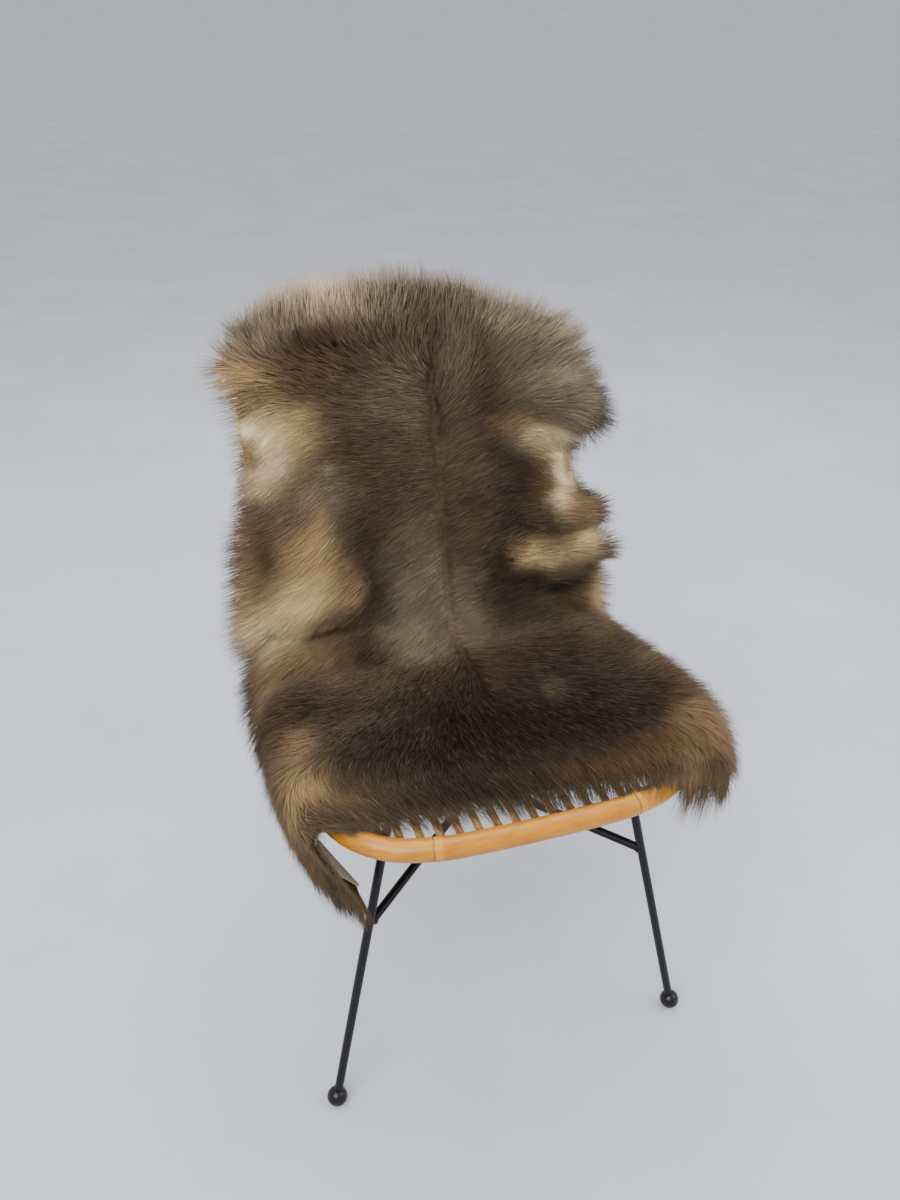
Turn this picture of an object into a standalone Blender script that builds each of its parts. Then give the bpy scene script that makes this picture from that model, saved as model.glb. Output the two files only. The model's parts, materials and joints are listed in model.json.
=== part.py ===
"""A short-haired sheepskin rug draped over a plain rattan side chair on steel rod legs.

Lengths are in metres and +Z is up. The design frame has its origin on the floor midway between
the front feet, the chair faces -Y, and the whole is then moved so that its box stands centred.
"""
import math
import random

import bmesh
import bpy
import numpy as np
from mathutils import Vector

# Clearances
GAP = 0.0003
ORIGIN = (0.005, 0.206)  # design-frame point that becomes the part's origin

# Rattan poles and rods
POLE_R = 0.0125
STUB = 0.003  # straight length of a pole at a butt joint
RIM_STEPS = 3  # curve steps between two rows of the pole tables
SPINDLE_R = 0.0045
SEAT_Z = 0.440
SPINDLE_Z = 0.4415
SPINDLE_PITCH = 0.0205
SEAT_SPINDLES = 17
BACK_SPINDLE_PITCH = 0.050
BACK_SPINDLES = 5
LEAN = math.radians(12)
HOOP_Y, HOOP_Z = 0.3341, 0.4976  # a point on the leaning plane of the back hoop

# Half of the seat rim's centre line, front to rear (x, y)
SEAT_RIM = [
    (0.000, -0.048), (0.060, -0.047), (0.110, -0.043), (0.160, -0.027), (0.198, 0.012),
    (0.213, 0.070), (0.212, 0.140), (0.203, 0.210), (0.188, 0.275), (0.155, 0.314),
    (0.100, 0.322), (0.000, 0.323),
]
FRONT_JOINT, REAR_JOINT = 4, 8  # rows of the table where the rim's poles meet
# Half of the back hoop's centre line, base to crown (x, height above the floor)
BACK_HOOP = [
    (0.164, 0.4400), (0.175, 0.530), (0.180, 0.620), (0.176, 0.700), (0.158, 0.770),
    (0.120, 0.818), (0.060, 0.848), (0.000, 0.858),
]
CROWN_JOINT = 5  # row of the table where a stile meets the crown

# Steel rods and feet
ROD_R = 0.00525
BALL_R = 0.0125
BALL_Z = 0.0115
CROSSBAR_Z = SEAT_Z - POLE_R - GAP - ROD_R
FRONT_FOOT = (0.231, 0.000)
FRONT_TOP = (0.141, 0.0376)
REAR_FOOT = (0.200, 0.460)
REAR_TOP = (0.150, 0.250)
FRONT_REACH, REAR_REACH = 0.202, 0.190  # half lengths of the crossbars
FRONT_BRACE_Z = 0.282
REAR_BRACE_Z = 0.375
BRACE_OFFSET = 0.0060  # each brace passes this far above or below the crossing point

# Spine path of the hide's underside: run on the seat, corner, run up the back, crown, rear flap
FRONT_EXTRA = 0.020  # length of hide in front of the path's start
HIDE_FRONT_Y = 0.010
HIDE_SEAT_Z = 0.4555
SEAT_RUN = 0.247
CORNER_R = 0.062
BACK_RUN = 0.366
CROWN_R = 0.0165
FLAP_RUN = 0.130
UPRIGHT = math.radians(90) - LEAN
SPINE_X = 0.008
# The front edge runs further forward on the right: run for each metre across, limit across, fade
SKEW, SKEW_REACH, SKEW_RUN = 0.07, 0.2, 0.15
# Hanging flaps sweep forward: share of the hang on the left and right, and where that fades out
SWEEP_LEFT, SWEEP_RIGHT = 0.42, 0.05
SWEEP_START, SWEEP_RUN = 0.06, 0.2
# Their front parts curl round the seat's corners: share of the hang past the slack, and its fade
CURL_LEFT, CURL_RIGHT, CURL_SLACK = 0.68, 0.30, 0.012
CURL_START, CURL_RUN = -0.020, 0.12
# The hide's crown follows the hoop down: side, drop, distance across where it starts, run
CROWN_SLIPS = [(1, 0.024, 0.045, 0.040), (1, 0.016, 0.090, 0.060), (-1, 0.008, 0.060, 0.120)]
SLIP_START, SLIP_RUN = 0.50, 0.2
ACROSS_STEPS = 24  # steps across over which the bends are added up
BEND_RUN = 0.040  # width over which the hide bends down past the chair's edge

# Distance along the spine, half widths, x at which it bends down past the chair, bends in degrees
OUTLINE_COLUMNS = ("along", "left", "right", "carried", "left_bend", "right_bend")
OUTLINE = [
    (-0.020, 0.278, 0.254, 0.223, 86, 60),
    (0.000, 0.308, 0.272, 0.224, 92, 64),
    (0.030, 0.334, 0.288, 0.234, 100, 66),
    (0.070, 0.348, 0.296, 0.239, 102, 66),
    (0.120, 0.328, 0.290, 0.238, 100, 62),
    (0.170, 0.292, 0.264, 0.230, 84, 56),
    (0.225, 0.268, 0.238, 0.219, 62, 50),
    (0.287, 0.258, 0.210, 0.198, 36, 36),
    (0.335, 0.250, 0.211, 0.178, 22, 22),
    (0.377, 0.244, 0.223, 0.178, 18, 14),
    (0.403, 0.242, 0.202, 0.178, 18, 14),
    (0.431, 0.240, 0.222, 0.180, 16, 12),
    (0.458, 0.234, 0.196, 0.182, 14, 8),
    (0.480, 0.230, 0.187, 0.183, 12, 6),
    (0.530, 0.233, 0.184, 0.184, 8, 6),
    (0.546, 0.234, 0.218, 0.184, 8, 10),
    (0.575, 0.235, 0.224, 0.184, 8, 14),
    (0.610, 0.231, 0.214, 0.182, 10, 16),
    (0.640, 0.226, 0.206, 0.180, 12, 16),
    (0.663, 0.240, 0.194, 0.176, 16, 16),
    (0.690, 0.218, 0.180, 0.165, 14, 14),
    (0.730, 0.190, 0.164, 0.150, 10, 10),
    (0.780, 0.172, 0.152, 0.140, 6, 6),
    (0.830, 0.134, 0.127, 0.130, 4, 4),
    (0.880, 0.090, 0.085, 0.130, 2, 2),
]

# Folds: a line from (along, across) to (along, across), half width, height; negative is a crease
FOLDS = [
    (0.434, 0.120, 0.424, 0.240, 0.017, 0.017),
    (0.396, 0.100, 0.378, 0.240, 0.016, 0.022),
    (0.404, 0.206, 0.402, 0.240, 0.010, -0.013),
    (0.352, 0.210, 0.356, 0.240, 0.012, -0.014),
    (0.328, 0.175, 0.322, 0.225, 0.018, 0.012),
    (0.480, -0.165, 0.400, -0.175, 0.035, 0.012),
    (0.372, -0.120, 0.352, -0.250, 0.020, 0.016),
    (0.326, -0.222, 0.300, -0.255, 0.014, -0.013),
    (0.300, -0.110, 0.285, -0.200, 0.022, 0.010),
    (0.600, 0.150, 0.560, 0.215, 0.030, 0.010),
    (0.655, -0.120, 0.640, -0.235, 0.030, 0.010),
    (0.705, -0.170, 0.735, -0.020, 0.022, 0.006),
    (0.120, 0.215, 0.050, 0.225, 0.030, 0.008),
    (0.230, 0.020, 0.250, 0.160, 0.026, 0.006),
    (0.110, -0.150, 0.070, -0.205, 0.026, 0.007),
]

# Pile
PILE = 0.021
EDGE_PILE = 0.010
EDGE_RUN = 0.030
# Lumps: height, turns in radians for each metre, and how far the rows of lumps wander
LUMP, LUMPS_ALONG, LUMPS_ACROSS = 0.0025, 47, 53
LUMP_WANDER, WANDER_ACROSS = 3, 31
BARE_DEPTH = 0.62  # share of the pile that is missing on a bare patch
# Nearly bare patches behind the forelegs: along, across, half length, half width
BARE = [(0.585, -0.232, 0.055, 0.045), (0.495, 0.180, 0.038, 0.040)]

# Rows of the hide's grid: number of steps on each run of the spine path
ROW_STEPS = (14, 6, 27, 6, 5)
COLUMN_STEPS = 30

# Edge strips with locks: name, edge, start, end, locks on each step of the grid, fall of the tips
STRIPS = [
    ("locks_front_left", "front", -0.62, -0.03, 2, 0.04),
    ("locks_front_right", "front", 0.03, 0.74, 2, 0.04),
    ("locks_lobe_left", "front", -0.97, -0.80, 2, 0.25),
    ("locks_lobe_right", "front", 0.82, 0.97, 2, 0.25),
    ("locks_flap_left", "left", -0.014, 0.125, 2, 0.25),
    ("locks_side_left", "left", 0.132, 0.300, 2, 0.20),
    ("locks_flank_left", "left", 0.318, 0.520, 2, 0.05),
    ("locks_shoulder_left", "left", 0.648, 0.715, 2, 0.10),
    ("locks_flap_right", "right", -0.014, 0.140, 2, 0.25),
    ("locks_side_right", "right", 0.148, 0.260, 2, 0.20),
    ("locks_flank_right", "right", 0.300, 0.448, 2, 0.02),
    ("locks_shoulder_right", "right", 0.552, 0.700, 2, 0.10),
    ("locks_neck", "end", -0.88, 0.88, 0.5, 0.10),
]
STRIP_WIDTH = 0.006
STRIP_GAP = 0.0020
LEAST_STEP = 0.3  # shortest length of strip at its ends, as a share of the others
STRIP_LOW, STRIP_HIGH = 0.0012, 0.0082  # underside and top of a strip above the hide's underside
LOCK_LENGTH = (0.019, 0.028)
LOCK_BEND, LOCK_RISE, LOCK_TAPER = 0.5, 0.06, 0.62  # a lock's bend as shares of length and width


# Scene and materials
def clear_scene():
    for obj in list(bpy.data.objects):
        bpy.data.objects.remove(obj, do_unlink=True)


def new_collection(name):
    collection = bpy.data.collections.new(name)
    bpy.context.scene.collection.children.link(collection)
    return collection


def finish(name, colour, roughness, metallic=0.0):
    material = bpy.data.materials.new(name)
    material.use_nodes = True
    shader = material.node_tree.nodes["Principled BSDF"]
    shader.inputs["Base Color"].default_value = (*colour, 1.0)
    shader.inputs["Roughness"].default_value = roughness
    shader.inputs["Metallic"].default_value = metallic
    return material


clear_scene()
parts = new_collection("sheepskin_rug_on_rattan_chair")
cutters = new_collection("cutters")
place = bpy.data.objects.new("placement", None)
place.location = (-ORIGIN[0], -ORIGIN[1], 0.0)
parts.objects.link(place)

WOOL = finish("brown wool", (0.10, 0.075, 0.05), 0.9)
RATTAN = finish("honey rattan", (0.60, 0.33, 0.11), 0.35)
PALE_RATTAN = finish("pale rattan", (0.70, 0.52, 0.27), 0.5)
STEEL = finish("black steel", (0.015, 0.015, 0.017), 0.4, 0.6)
RUBBER = finish("black foot", (0.012, 0.012, 0.013), 0.55)


# Shared shape helpers
def ease(t):
    t = np.clip(t, 0.0, 1.0)
    return t * t * (3.0 - 2.0 * t)


def smooth_curve(points, steps, closed=False):
    """Points on a curve that passes smoothly through the given ones."""
    pts = [Vector(p) for p in points]
    count = len(pts)
    out = []
    for i in range(count if closed else count - 1):
        if closed:
            a, b, c, d = (pts[(i + k) % count] for k in (-1, 0, 1, 2))
        else:
            b, c = pts[i], pts[i + 1]
            a = pts[i - 1] if i else b * 2 - c
            d = pts[i + 2] if i + 2 < count else c * 2 - b
        for k in range(steps):
            t = k / steps
            out.append(0.5 * (2 * b + (c - a) * t + (2 * a - 5 * b + 4 * c - d) * t * t
                              + (3 * b - a - 3 * c + d) * t ** 3))
    if not closed:
        out.append(pts[-1])
    return out


def add_mesh(name, verts, faces, material, group=None):
    mesh = bpy.data.meshes.new(name)
    mesh.from_pydata([tuple(map(float, v)) for v in verts], [], faces)
    mesh.materials.append(material)
    return add_object(name, mesh, group)


def add_object(name, data, group=None):
    obj = bpy.data.objects.new(name, data)
    (group or parts).objects.link(obj)
    obj.parent = place
    if group is cutters:
        obj.hide_render = True
        obj.display_type = "WIRE"
    return obj


def shade_round(mesh):
    mesh.shade_smooth()
    mesh.set_sharp_from_angle(angle=math.radians(40))


def bent_pole(name, points, radius, material, closed=False, group=None):
    """A round pole along the points, made a mesh with welded caps."""
    curve = bpy.data.curves.new(name + "_path", "CURVE")
    curve.dimensions = "3D"
    curve.bevel_depth = radius
    curve.bevel_resolution = 4
    curve.use_fill_caps = True
    spline = curve.splines.new("POLY")
    spline.points.add(len(points) - 1)
    spline.use_cyclic_u = closed
    for point, co in zip(spline.points, points):
        point.co = (*co, 1.0)
    guide = bpy.data.objects.new(name + "_path", curve)
    bpy.context.scene.collection.objects.link(guide)
    evaluated = guide.evaluated_get(bpy.context.evaluated_depsgraph_get())
    mesh = bpy.data.meshes.new_from_object(evaluated)
    bpy.data.objects.remove(guide)
    bm = bmesh.new()
    bm.from_mesh(mesh)
    bmesh.ops.remove_doubles(bm, verts=bm.verts, dist=1e-6)
    bmesh.ops.recalc_face_normals(bm, faces=bm.faces)
    bm.to_mesh(mesh)
    bm.free()
    mesh.name = name
    mesh.materials.clear()
    mesh.materials.append(material)
    shade_round(mesh)
    return add_object(name, mesh, group)


def straight_rod(name, start, end, radius, material, sides=12, group=None):
    """A round rod between two points."""
    start, end = Vector(start), Vector(end)
    run = end - start
    mesh = bpy.data.meshes.new(name)
    bm = bmesh.new()
    bmesh.ops.create_cone(bm, cap_ends=True, segments=sides, radius1=radius, radius2=radius,
                          depth=run.length)
    bm.to_mesh(mesh)
    bm.free()
    mesh.materials.append(material)
    shade_round(mesh)
    rod = add_object(name, mesh, group)
    rod.location = (start + end) / 2
    rod.rotation_euler = run.to_track_quat("Z", "Y").to_euler()
    return rod


def cope(piece, *others):
    """Shape a piece's ends to the pieces that it meets, a gap away from them."""
    for other in others:
        cut = piece.modifiers.new("cope", "BOOLEAN")
        cut.operation = "DIFFERENCE"
        cut.solver = "EXACT"
        cut.object = other


def between(a, b, t):
    return Vector(a).lerp(Vector(b), t)


# Rattan seat and back
def hoop_y(z):
    return HOOP_Y + (z - HOOP_Z) * math.tan(LEAN)


def rim_loop():
    right = [(x, y, SEAT_Z) for x, y in SEAT_RIM]
    left = [(-x, y, z) for x, y, z in right[-2:0:-1]]
    return smooth_curve(right + left, RIM_STEPS, closed=True)


def hoop_line():
    right = [(x, hoop_y(z), z) for x, z in BACK_HOOP]
    left = [(-x, y, z) for x, y, z in right[-2::-1]]
    return smooth_curve(right + left, RIM_STEPS)


def joint(line, at, way):
    """Two points just past a butt joint in the line, square to it, with half a gap."""
    count = len(line)
    along = (line[(at + 1) % count] - line[(at - 1) % count]).normalized() * way
    return [line[at % count] + along * GAP / 2, line[at % count] + along * STUB]


def jointed(line, first, last, start=True, end=True):
    """The line's points from first to last, with a butt joint at each end that is asked for."""
    pts = [line[i % len(line)] for i in range(first, last + 1)]
    if start:
        pts[:1] = joint(line, first, 1)
    if end:
        pts[-1:] = joint(line, last, -1)[::-1]
    return pts


def build_seat_rim():
    """Four lengths of bent pole that meet end to end round the seat."""
    loop = rim_loop()
    count = len(loop)
    corner = FRONT_JOINT * RIM_STEPS
    rear = REAR_JOINT * RIM_STEPS
    spans = [
        ("rim_front", -corner, corner), ("rim_right", corner, rear),
        ("rim_rear", rear, count - rear), ("rim_left", count - rear, count - corner),
    ]
    for name, first, last in spans:
        bent_pole(name, jointed(loop, first, last), POLE_R, RATTAN)
    return bent_pole("rim_cutter", loop, POLE_R + GAP, RATTAN, closed=True, group=cutters)


def build_back_hoop(rim):
    """Two stiles that stand on the rim and the crown between them."""
    line = hoop_line()
    end = len(line) - 1
    crown = CROWN_JOINT * RIM_STEPS
    right = bent_pole("hoop_right", jointed(line, 0, crown, start=False), POLE_R, RATTAN)
    left = bent_pole("hoop_left", jointed(line, end - crown, end, end=False), POLE_R, RATTAN)
    bent_pole("hoop_crown", jointed(line, crown, end - crown), POLE_R, RATTAN)
    for stile in (right, left):
        cope(stile, rim)
    above_rim = line[RIM_STEPS:-RIM_STEPS]
    return bent_pole("hoop_cutter", above_rim, POLE_R + GAP, RATTAN, group=cutters)


def rim_crossings(x):
    """Front and rear y of the rim's centre line at a given x."""
    loop = rim_loop()
    half = loop[:len(loop) // 2 + 1]
    xs = [p.x for p in half]
    widest = xs.index(max(xs))
    front = np.interp(abs(x), xs[:widest + 1], [p.y for p in half[:widest + 1]])
    rear = np.interp(abs(x), xs[:widest - 1:-1], [p.y for p in half[:widest - 1:-1]])
    return float(front), float(rear)


def build_seat_spindles(rim):
    for i in range(SEAT_SPINDLES):
        x = (i - (SEAT_SPINDLES - 1) / 2) * SPINDLE_PITCH
        front, rear = rim_crossings(x)
        rod = straight_rod(f"seat_spindle_{i + 1:02d}", (x, front, SPINDLE_Z), (x, rear, SPINDLE_Z),
                           SPINDLE_R, PALE_RATTAN, sides=8)
        cope(rod, rim)


def build_back_spindles(rim, hoop):
    crown = hoop_line()
    xs = [p.x for p in crown][::-1]
    zs = [p.z for p in crown][::-1]
    for i in range(BACK_SPINDLES):
        x = (i - (BACK_SPINDLES - 1) / 2) * BACK_SPINDLE_PITCH
        top = float(np.interp(x, xs, zs))
        rod = straight_rod(f"back_spindle_{i + 1}", (x, hoop_y(SEAT_Z), SEAT_Z), (x, hoop_y(top), top),
                           SPINDLE_R, PALE_RATTAN, sides=8)
        cope(rod, rim, hoop)


# Steel base
def leg_ends(side, rear):
    foot = REAR_FOOT if rear else FRONT_FOOT
    top = REAR_TOP if rear else FRONT_TOP
    return (side * foot[0], foot[1], BALL_Z), (side * top[0], top[1], CROSSBAR_Z)


def ball(name, centre, radius, material, group=None):
    """A ball foot with a flat spot where it stands on the floor."""
    mesh = bpy.data.meshes.new(name)
    bm = bmesh.new()
    bmesh.ops.create_uvsphere(bm, u_segments=16, v_segments=10, radius=radius)
    if group is None:
        flat = bmesh.ops.bisect_plane(bm, geom=bm.verts[:] + bm.edges[:] + bm.faces[:],
                                      plane_co=(0, 0, -centre[2]), plane_no=(0, 0, -1),
                                      clear_outer=True)
        rim = [e for e in flat["geom_cut"] if isinstance(e, bmesh.types.BMEdge)]
        bmesh.ops.contextual_create(bm, geom=rim)
    bmesh.ops.recalc_face_normals(bm, faces=bm.faces)
    bm.to_mesh(mesh)
    bm.free()
    mesh.materials.append(material)
    shade_round(mesh)
    obj = add_object(name, mesh, group)
    obj.location = centre
    return obj


def build_base():
    """Four splayed legs on ball feet, a crossbar on each pair, and two braces that cross."""
    leg_cutters = {}
    for rear in (False, True):
        end = "rear" if rear else "front"
        y = (REAR_TOP if rear else FRONT_TOP)[1]
        reach = REAR_REACH if rear else FRONT_REACH
        bar = ((-reach, y, CROSSBAR_Z), (reach, y, CROSSBAR_Z))
        straight_rod(f"crossbar_{end}", *bar, ROD_R, STEEL)
        bar_cutter = straight_rod(f"crossbar_{end}_cutter", *bar, ROD_R + GAP, STEEL, group=cutters)
        for side, hand in ((-1, "left"), (1, "right")):
            foot, top = leg_ends(side, rear)
            ball(f"foot_{end}_{hand}", foot, BALL_R, RUBBER)
            ball_cutter = ball(f"foot_{end}_{hand}_cutter", foot, BALL_R + GAP, RUBBER, cutters)
            leg = straight_rod(f"leg_{end}_{hand}", foot, top, ROD_R, STEEL)
            cope(leg, bar_cutter, ball_cutter)
            leg_cutters[side, rear] = straight_rod(f"leg_{end}_{hand}_cutter", foot, top,
                                                   ROD_R + GAP, STEEL, group=cutters)
    for side, hand in ((-1, "left"), (1, "right")):
        front, rear = leg_ends(side, False), leg_ends(-side, True)
        over = Vector((0, 0, side * BRACE_OFFSET))
        start = between(*front, (FRONT_BRACE_Z - BALL_Z) / (CROSSBAR_Z - BALL_Z)) + over
        end = between(*rear, (REAR_BRACE_Z - BALL_Z) / (CROSSBAR_Z - BALL_Z)) + over
        brace = straight_rod(f"brace_{hand}", start, end, ROD_R, STEEL)
        cope(brace, leg_cutters[side, False], leg_cutters[-side, True])


# The hide's surface
def outline(column, along):
    """Value of an outline column, eased between its rows."""
    k = OUTLINE_COLUMNS.index(column)
    rows = np.array([row[0] for row in OUTLINE])
    values = np.array([row[k] for row in OUTLINE], float)
    i = np.clip(np.searchsorted(rows, along, side="right") - 1, 0, len(rows) - 2)
    t = ease((along - rows[i]) / (rows[i + 1] - rows[i]))
    return values[i] * (1 - t) + values[i + 1] * t


def path_runs():
    """Length and turn of each stretch of the spine path."""
    over = UPRIGHT + math.radians(90)
    return [(SEAT_RUN, 0.0), (CORNER_R * UPRIGHT, UPRIGHT), (BACK_RUN, 0.0),
            (CROWN_R * over, -over), (FLAP_RUN, 0.0)]


def spine_path(along):
    """y, z and direction angle of the underside at a distance along the spine."""
    runs = path_runs()
    y = np.full_like(along, HIDE_FRONT_Y)
    z = np.full_like(along, HIDE_SEAT_Z)
    angle = np.zeros_like(along)
    start = 0.0
    for i, (length, turn) in enumerate(runs):
        step = along - start
        if i > 0:
            step = np.maximum(step, 0.0)
        if i < len(runs) - 1:
            step = np.minimum(step, length)
        if turn:
            radius = length / turn
            after = angle + step / radius
            y = y + radius * (np.sin(after) - np.sin(angle))
            z = z - radius * (np.cos(after) - np.cos(angle))
            angle = after
        else:
            y = y + step * np.cos(angle)
            z = z + step * np.sin(angle)
        start += length
    return y, z, angle


def drape(along, share):
    """Point of the unfolded hide at a distance along the spine and a share of its half width."""
    left = share < 0
    side = np.where(left, -1.0, 1.0)
    half = np.where(left, outline("left", along), outline("right", along))
    carried = outline("carried", along) - side * SPINE_X
    bend = np.radians(np.where(left, outline("left_bend", along), outline("right_bend", along)))
    across = np.abs(share) * half
    hang = np.maximum(across - carried, 0.0)
    skew = SKEW * side * np.minimum(across, SKEW_REACH) * np.clip(1 - along / SKEW_RUN, 0, 1)
    fade = ease(1 - (along - SWEEP_START) / SWEEP_RUN)
    sweep = np.where(left, SWEEP_LEFT, SWEEP_RIGHT) * hang * fade
    y, z, angle = spine_path(along - skew - sweep)
    loose = np.maximum(hang - CURL_SLACK, 0.0) * ease(1 - (along - CURL_START) / CURL_RUN)
    curl = np.where(left, CURL_LEFT, CURL_RIGHT) * loose
    slip = np.zeros_like(across)
    for hand, depth, start, run in CROWN_SLIPS:
        slip = slip + np.where(side == hand, depth * ease((across - start) / run), 0.0)
    slip = slip * ease((along - SLIP_START) / SLIP_RUN)
    y = y - slip * math.sin(LEAN)
    z = z - slip * math.cos(LEAN)
    x = np.zeros_like(across)
    drop = np.zeros_like(across)
    for k in range(ACROSS_STEPS):
        at = across * (k + 0.5) / ACROSS_STEPS
        slope = bend * ease((at - (carried - BEND_RUN / 2)) / BEND_RUN)
        x = x + np.cos(slope) * across / ACROSS_STEPS
        drop = drop + np.sin(slope) * across / ACROSS_STEPS
    x = x - curl
    return np.stack([SPINE_X + side * x, y + drop * np.sin(angle), z - drop * np.cos(angle)], -1)


def normals(points):
    """Unit normals on the hair side of a grid of points."""
    n = np.cross(np.gradient(points, axis=1), np.gradient(points, axis=0))
    return n / np.linalg.norm(n, axis=-1, keepdims=True)


def fold_height(along, across):
    height = np.zeros_like(along)
    for a0, w0, a1, w1, reach, rise in FOLDS:
        run = np.array([a1 - a0, w1 - w0])
        t = np.clip(((along - a0) * run[0] + (across - w0) * run[1]) / (run @ run), 0, 1)
        away = np.hypot(along - a0 - t * run[0], across - w0 - t * run[1])
        height = height + rise * np.exp(-(away / reach) ** 2)
    return height


def pile_height(along, across, edge):
    """Depth of hide and hair above the underside: lumpy, thin at the edge and on bare patches."""
    wander = LUMP_WANDER * np.sin(across * WANDER_ACROSS)
    lumps = np.sin(along * LUMPS_ALONG + wander) * np.sin(across * LUMPS_ACROSS)
    depth = EDGE_PILE + (PILE - EDGE_PILE + LUMP * lumps) * ease(edge / EDGE_RUN)
    for at, over, long, wide in BARE:
        near = np.exp(-((along - at) / long) ** 4 - ((across - over) / wide) ** 4)
        depth = depth * (1 - BARE_DEPTH * near)
    return depth


def hide_rows():
    """Distances along the spine of the grid's rows."""
    rows = [-FRONT_EXTRA]
    end = 0.0
    for (length, _), steps in zip(path_runs(), ROW_STEPS):
        start = rows[-1]
        end += length
        rows += [start + (end - start) * (k + 1) / steps for k in range(steps)]
    return np.array(rows)


def hide_grids():
    """Underside and hair-side points of the hide, one row for each distance along."""
    rows = hide_rows()
    share = np.linspace(-1, 1, COLUMN_STEPS + 1)
    along, share = np.meshgrid(rows, share, indexing="ij")
    half = np.where(share < 0, outline("left", along), outline("right", along))
    across = share * half
    under = drape(along, share)
    under = under + normals(under) * fold_height(along, across)[..., None]
    edge = np.minimum(half - np.abs(across), np.minimum(along - rows[0], rows[-1] - along))
    over = under + normals(under) * pile_height(along, across, edge)[..., None]
    return rows, under, over


def build_hide(under, over):
    """One closed lumpy slab: leather underneath, short hair on top."""
    n_rows, n_cols = under.shape[:2]
    verts = np.concatenate([under.reshape(-1, 3), over.reshape(-1, 3)])
    top = n_rows * n_cols
    faces = []
    for i in range(n_rows - 1):
        for j in range(n_cols - 1):
            a, b = i * n_cols + j, (i + 1) * n_cols + j
            faces.append((a, b, b + 1, a + 1))
            faces.append((top + a, top + a + 1, top + b + 1, top + b))
    ring = list(range(n_cols))
    ring += [i * n_cols + n_cols - 1 for i in range(1, n_rows)]
    ring += [(n_rows - 1) * n_cols + j for j in range(n_cols - 2, -1, -1)]
    ring += [i * n_cols for i in range(n_rows - 2, 0, -1)]
    for k, a in enumerate(ring):
        b = ring[(k + 1) % len(ring)]
        faces.append((a, b, top + b, top + a))
    hide = add_mesh("hide", verts, faces, WOOL)
    hide.data.shade_smooth()


# Locks of hair on narrow strips along the hide's edge
def edge_frames(edge, under, over):
    """Points, outward directions and hair-side directions along one edge of the grid."""
    line, inner, upper = {
        "left": (under[:, 0], under[:, 1], over[:, 0]),
        "right": (under[:, -1], under[:, -2], over[:, -1]),
        "front": (under[0], under[1], over[0]),
        "end": (under[-1], under[-2], over[-1]),
    }[edge]
    lift = upper - line
    lift = lift / np.linalg.norm(lift, axis=-1, keepdims=True)
    along = np.gradient(line, axis=0)
    along = along / np.linalg.norm(along, axis=-1, keepdims=True)
    out = np.cross(along, lift)
    toward = np.sum(out * (line - inner), axis=-1, keepdims=True)
    return line, np.where(toward < 0, -out, out), lift


def pick(values, index):
    """Value at a fractional index, from the two nearest."""
    i = min(int(index), len(values) - 2)
    t = index - i
    return values[i] * (1 - t) + values[i + 1] * t


def stations(start, end, marks, per_step):
    """Fractional grid indices of a strip's cross-sections: its two ends and the steps between."""
    first = float(np.interp(start, marks, np.arange(len(marks))))
    last = float(np.interp(end, marks, np.arange(len(marks))))
    low = math.ceil(first * per_step + LEAST_STEP)
    high = math.floor(last * per_step - LEAST_STEP)
    return [first] + [k / per_step for k in range(low, high + 1)] + [last]


def build_locks(edge, places, fall, under, over, rng):
    """A strip a little outside the hide's edge with a tapered lock on each length of it."""
    line, out, lift = edge_frames(edge, under, over)
    verts = []
    faces = []
    for at in places:
        p, o, n = (pick(values, at) for values in (line, out, lift))
        o = o / np.linalg.norm(o)
        n = n / np.linalg.norm(n)
        for away, height in ((0, STRIP_LOW), (0, STRIP_HIGH), (STRIP_WIDTH, STRIP_HIGH),
                             (STRIP_WIDTH, STRIP_LOW)):
            verts.append(p + o * (STRIP_GAP + away) + n * height)
    count = len(places) - 1
    for k in range(count):
        a = 4 * k
        b = a + 4
        faces += [(a, b, b + 1, a + 1), (a + 1, b + 1, b + 2, a + 2), (a, a + 3, b + 3, b)]
        root = [a + 2, b + 2, b + 3, a + 3]
        middle_at = (places[k] + places[k + 1]) / 2
        o, n = pick(out, middle_at), pick(lift, middle_at)
        o = o / np.linalg.norm(o)
        length = rng.uniform(*LOCK_LENGTH)
        middle = sum(verts[i] for i in root) / 4
        down = np.array([0, 0, -length]) * fall * rng.uniform(0.8, 1.3)
        bend = middle + length * (LOCK_BEND * o + LOCK_RISE * n) + down * LOCK_BEND ** 2
        tip = middle + length * o + down
        ring = [len(verts) + i for i in range(4)]
        verts += [bend + (verts[i] - middle) * LOCK_TAPER for i in root]
        verts.append(tip)
        for i in range(4):
            j = (i + 1) % 4
            faces.append((root[i], root[j], ring[j], ring[i]))
            faces.append((ring[i], ring[j], ring[3] + 1))
    end_ring = 4 * count
    faces += [(0, 1, 2, 3), (end_ring + 3, end_ring + 2, end_ring + 1, end_ring)]
    return verts, faces


def build_all_locks(rows, under, over):
    rng = random.Random(7)
    shares = np.linspace(-1, 1, COLUMN_STEPS + 1)
    for name, edge, start, end, per_step, fall in STRIPS:
        marks = rows if edge in ("left", "right") else shares
        places = stations(start, end, marks, per_step)
        verts, faces = build_locks(edge, places, fall, under, over, rng)
        obj = add_mesh(name, verts, faces, WOOL)
        bm = bmesh.new()
        bm.from_mesh(obj.data)
        bmesh.ops.recalc_face_normals(bm, faces=bm.faces)
        bm.to_mesh(obj.data)
        bm.free()


def build_chair():
    rim = build_seat_rim()
    hoop = build_back_hoop(rim)
    build_seat_spindles(rim)
    build_back_spindles(rim, hoop)
    build_base()


def build_rug():
    rows, under, over = hide_grids()
    build_hide(under, over)
    build_all_locks(rows, under, over)


build_chair()
build_rug()
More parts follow.
